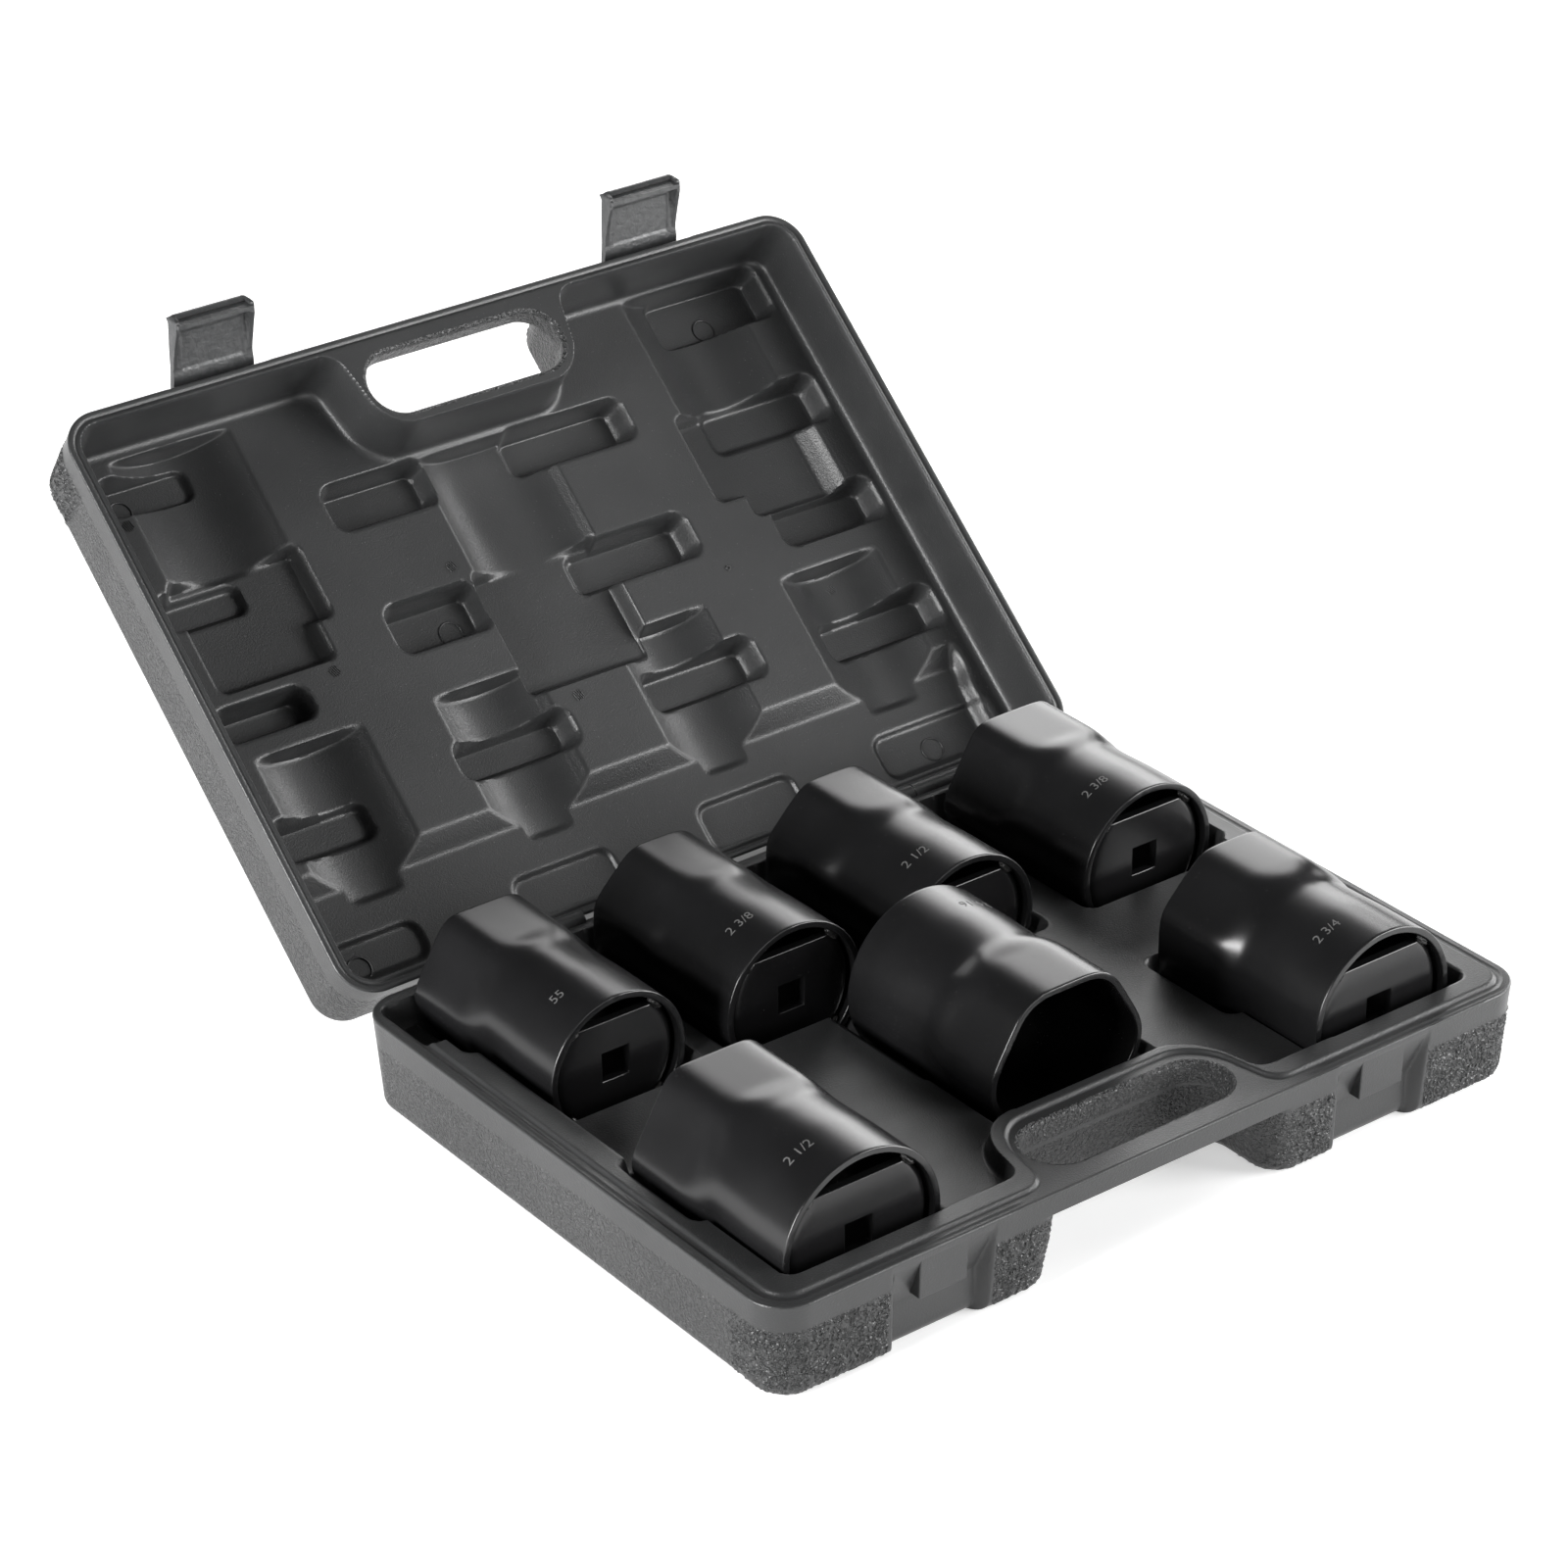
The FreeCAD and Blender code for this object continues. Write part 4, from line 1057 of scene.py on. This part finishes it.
# ---- sockets
def polygon_radius(angle, sides, half, corner):
    """Radius of a round-cornered regular polygon whose first flat lies at angle 0."""
    step = 2 * math.pi / sides
    from_flat = np.abs((angle + step / 2) % step - step / 2)
    hub = (half - corner) / math.cos(step / 2)
    tangent = math.atan2(hub * math.sin(step / 2), half)
    off_tip = step / 2 - from_flat
    rounded = hub * np.cos(off_tip) + np.sqrt(np.clip(corner ** 2 - (hub * np.sin(off_tip)) ** 2, 0, None))
    return np.where(from_flat <= tangent, half / np.cos(from_flat), rounded)


def socket_shell(name):
    """Formed tube: flats at one end, a pinched blend, and a round end."""
    sides, radius, flats, corner = SOCKETS[name][:4]
    centre, axis, end, way, length = socket_place(name)
    angle = np.linspace(0, 2 * math.pi, 288, endpoint=False)
    shaped = polygon_radius(angle, sides, flats / 2, corner)
    tip = polygon_radius(np.array([math.pi / sides]), sides, flats / 2, corner)[0]
    rough = np.array([noise.noise(Vector((math.cos(a) * 9, math.sin(a) * 9, centre))) for a in angle])

    def sharp_radius(u):
        """Radius round the tube at u from the formed end, before smoothing."""
        drop = (tip + 1.0 - radius + PINCH) * (1 - ramp(u - NECK_AT, NECK_LEN))
        neck = radius - PINCH + drop + PINCH * ramp(u - NECK_AT - 21.0, 24.0)
        return soft_min(shaped + 7.0 * ramp(u - NECK_AT - 9.5, 32.0), neck, 4.2)

    us = np.linspace(1.5, length - 1.5, TUBE_RINGS)
    field = np.array([sharp_radius(u) for u in us])
    for _ in range(TUBE_SMOOTHING):
        field = (np.roll(field, 1, 1) + 2 * field + np.roll(field, -1, 1)) / 4
        field[1:-1] = (field[:-2] + 2 * field[1:-1] + field[2:]) / 4

    def smooth_radius(u):
        row = min(max((u - us[0]) / (us[1] - us[0]), 0.0), TUBE_RINGS - 1.001)
        low = int(row)
        return field[low] + (row - low) * (field[low + 1] - field[low])

    edge = quarter_round(TUBE_EDGE, [0, 22, 45, 68, 90])
    levels = [(along, -across) for along, across in edge[::-1]] + [(u, 0.0) for u in us]
    levels += [(length - along, -across) for along, across in edge]
    levels += [(length - along, across - WALL) for along, across in edge[::-1]]
    levels += [(u, -WALL) for u in us[::-4]] + [(along, across - WALL) for along, across in edge]
    rings = []
    for u, offset in levels:
        r = smooth_radius(u) + offset
        wobble = rough * 0.12 * (math.exp(-u / 1.2) + math.exp(-(length - u) / 1.2))
        y = end + way * (length - u - wobble)
        rings.append(np.stack([centre + r * np.sin(angle), y, axis + r * np.cos(angle)], -1))
    verts = np.array(rings)
    faces = grid_faces(*verts.shape[:2], wrap_rows=True, wrap_cols=True)
    piece = build(name + "_tube", [(verts, faces)], BLACK, name, sharp=50, merge=0.002)
    outwards(piece)
    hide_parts(name + "_shell")


def past_hole(reach, steps):
    """Numbers from -reach to reach, with both edges of the drive hole among them."""
    hole = DRIVE / 2
    return np.concatenate([np.linspace(-reach, -hole, steps), np.linspace(-hole, hole, 5)[1:],
                           np.linspace(hole, reach, steps)[1:]])


def plate_section(width):
    """Outer and inner paths of the bent strip at one height: (x, depth) pairs."""
    def leg(half, r, depth):
        turns = np.radians(np.linspace(0, 90, 7))
        bend = [(r - half - r * math.cos(a), depth + r - r * math.sin(a)) for a in turns]
        return [(-half, PLATE_LEG), (-half, 10.0), *bend]

    inside = width - PLATE_T
    flat = width - PLATE_BEND
    scale = (inside - PLATE_BEND_IN) / flat
    xs = past_hole(flat, 7)[1:-1]
    paths = []
    for left, middle in ((leg(width, PLATE_BEND, 0.0), [(x, 0.0) for x in xs]),
                         (leg(inside, PLATE_BEND_IN, PLATE_T),
                          [(x * scale if abs(x) > DRIVE / 2 + 0.01 else x, PLATE_T) for x in xs])):
        paths.append(left + middle + [(-x, d) for x, d in left[::-1]])
    return paths


def drive_plate(name):
    """Bent strip across the round end with its square hole."""
    centre, axis, end, way, _ = socket_place(name)
    radius = SOCKETS[name][1]
    inner_r = radius - WALL - 0.03
    hole = DRIVE / 2
    heights = past_hole(PLATE_HALF * radius, 9)
    face = end + way * PLATE_IN
    sheets = [[], []]
    for h in heights:
        for sheet, path in zip(sheets, plate_section(math.sqrt(inner_r ** 2 - h ** 2))):
            sheet.append([(centre + x, face + way * d, axis + h) for x, d in path])
    outer, inner = (np.array(sheet) for sheet in sheets)
    rows, cols = outer.shape[:2]
    faces = grid_faces(rows, cols)
    mids = outer.reshape(-1, 3)[faces].mean(1)
    in_hole = (np.abs(mids[:, 0] - centre) < hole) & (np.abs(mids[:, 2] - axis) < hole)
    r0, r1 = (int(np.argmin(np.abs(heights - at))) for at in (-hole, hole))
    c0, c1 = (int(np.argmin(np.abs(outer[0, :, 0] - centre - at))) for at in (-hole, hole))
    loops = [border(0, rows - 1, 0, cols - 1, cols), border(r0, r1, c0, c1, cols)]
    part = thick_sheet(outer, inner, faces[~in_hole], loops)
    piece = build(name + "_plate", [part], BLACK, name, sharp=40)
    outwards(piece)
    bevel(piece, 0.45, 3, 50)
    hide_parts(name + "_drive_plate")


def weld(name, side, upper, size, seed):
    """Blob of weld metal where a corner of the plate meets the tube."""
    centre, axis, end, way, _ = socket_place(name)
    radius = SOCKETS[name][1]
    inner_r = radius - WALL
    h = PLATE_HALF * radius * upper
    w = math.sqrt(inner_r ** 2 - h ** 2) * side
    tangent = np.array([-h, 0.0, w]) / inner_r * side * upper
    radial = np.array([w, 0.0, h]) / inner_r
    inwards = np.array([0.0, way, 0.0])
    middle = np.array([centre + w, end + way * (PLATE_IN + 0.6), axis + h])
    middle = middle - radial * size[0] * 0.55 + tangent * size[1] * 0.1
    bm = bmesh.new()
    bmesh.ops.create_icosphere(bm, subdivisions=4, radius=1.0)
    for v in bm.verts:
        lump = 1 + 0.22 * noise.noise(v.co * 1.6 + Vector((seed, 0, 0)))
        lump += 0.07 * noise.noise(v.co * 5 + Vector((0, seed, 0)))
        out, deep, along = np.array(v.co) * lump
        v.co = (middle + radial * out * size[0] + inwards * deep * size[2] + tangent * along * size[1]) * MM
    bmesh.ops.recalc_face_normals(bm, faces=bm.faces)
    word = ("lower" if upper < 0 else "upper") + ("_left" if side < 0 else "_right")
    mesh = mesh_from(f"{name}_weld_{word}", bm)
    mesh.polygons.foreach_set("use_smooth", [True] * len(mesh.polygons))
    add_object(mesh.name, mesh, WELD, name)


def size_mark(name):
    """Nominal size in plain numerals, wrapped round the tube near its round end."""
    centre, axis, end, way, _ = socket_place(name)
    radius, text = SOCKETS[name][1], SOCKETS[name][5]
    curve = bpy.data.curves.new(name + "_mark", "FONT")
    curve.body = text
    curve.size = MARK_SIZE
    curve.resolution_u = 4
    carrier = link_object(name + "_mark_text", curve)
    depsgraph = bpy.context.evaluated_depsgraph_get()
    mesh = bpy.data.meshes.new_from_object(carrier.evaluated_get(depsgraph))
    bpy.data.objects.remove(carrier)
    r = radius + MARK_PROUD
    for v in mesh.vertices:
        angle = MARK_LEAN + v.co.x / radius
        v.co = Vector((centre + way * r * math.sin(angle), end + way * (MARK_IN + v.co.y),
                       axis + r * math.cos(angle))) * MM
    add_object(name + "_size_mark", mesh, MARK, name)


# ---- stage
LIT_POINT = (0.0, 0.05, 0.08)
# softboxes, in metres: name, place, size, watts
LIGHTS = [
    ("softbox_left", (-1.76, 0.05, 0.52), (0.9, 0.8), 62.0),
    ("softbox_front_right", (1.235, -1.185, 0.52), (0.9, 0.8), 38.0),
    ("softbox_front", (0.0, -1.70, 0.52), (0.9, 0.8), 7.0),
    ("softbox_right", (1.76, 0.05, 0.55), (0.9, 0.8), 20.0),
    ("softbox_back_right", (1.05, 1.34, 0.90), (1.0, 0.6), 8.5),
    ("softbox_back_low", (1.25, 1.30, 0.45), (0.9, 0.5), 6.0),
    ("softbox_high_right", (1.06, -0.76, 1.60), (1.3, 1.1), 4.5),
    ("softbox_back", (0.0, 1.81, 0.52), (0.9, 0.8), 6.5),
]


def area_light(name, place, size, watts):
    light = bpy.data.lights.new(name, "AREA")
    light.shape = "RECTANGLE"
    light.size, light.size_y = size
    light.energy = watts
    lamp = link_object(name, light)
    lamp.location = place
    lamp.rotation_euler = (Vector(LIT_POINT) - Vector(place)).to_track_quat("-Z", "Y").to_euler()


def stage():
    bm = bmesh.new()
    bmesh.ops.create_grid(bm, x_segments=8, y_segments=8, size=6.0)
    add_object("floor", mesh_from("floor", bm), FLOOR)
    world = bpy.data.worlds.new("studio")
    bpy.context.scene.world = world
    world.use_nodes = True
    background = world.node_tree.nodes["Background"]
    background.inputs["Color"].default_value = (1.0, 1.0, 1.0, 1.0)
    background.inputs["Strength"].default_value = 0.05
    for light in LIGHTS:
        area_light(*light)


def camera():
    """Camera at the photograph's viewing angle."""
    az, el, roll = np.radians([37.26, 28.47, -0.53]).tolist()
    look = Vector((math.sin(az) * math.cos(el), math.cos(az) * math.cos(el), -math.sin(el)))
    right = Vector((math.cos(az), -math.sin(az), 0.0))
    up = right.cross(look)
    right_rolled = right * math.cos(roll) + up * math.sin(roll)
    up_rolled = up * math.cos(roll) - right * math.sin(roll)
    offset_x, offset_y, distance, lift = 64.2, -120.7, 1940.0, 1.1
    place = -(right_rolled * offset_x + up_rolled * offset_y + look * distance) + Vector((0, 0, lift))
    data = bpy.data.cameras.new("camera")
    data.lens = 110.4
    data.sensor_width = 36.0
    data.clip_start, data.clip_end = 0.05, 30.0
    eye = link_object("camera", data)
    turned = Matrix((right_rolled, up_rolled, -look)).transposed().to_4x4()
    eye.matrix_world = Matrix.Translation(place * MM) @ turned
    bpy.context.scene.camera = eye


def pins():
    for word in ("left", "right"):
        for kind in ("hinge", "latch"):
            node = frame["nodes"][f"{kind}_pin_{word}"]
            node.data.materials.clear()
            node.data.materials.append(STEEL)


case_base()
case_lid()
hinge_knuckles()
catches()
parting_flash()
vent_marks()
ring_marks()
for latch_side, latch_word in SIDES:
    latch(latch_side, latch_word)
for socket_number, socket_name in enumerate(SOCKETS):
    socket_shell(socket_name)
    drive_plate(socket_name)
    size_mark(socket_name)
    for weld_side, weld_upper, weld_size, weld_seed in WELDS:
        weld(socket_name, weld_side, weld_upper, weld_size, socket_number + weld_seed)
pins()
stage()
camera()
bpy.context.scene.view_settings.view_transform = "Standard"
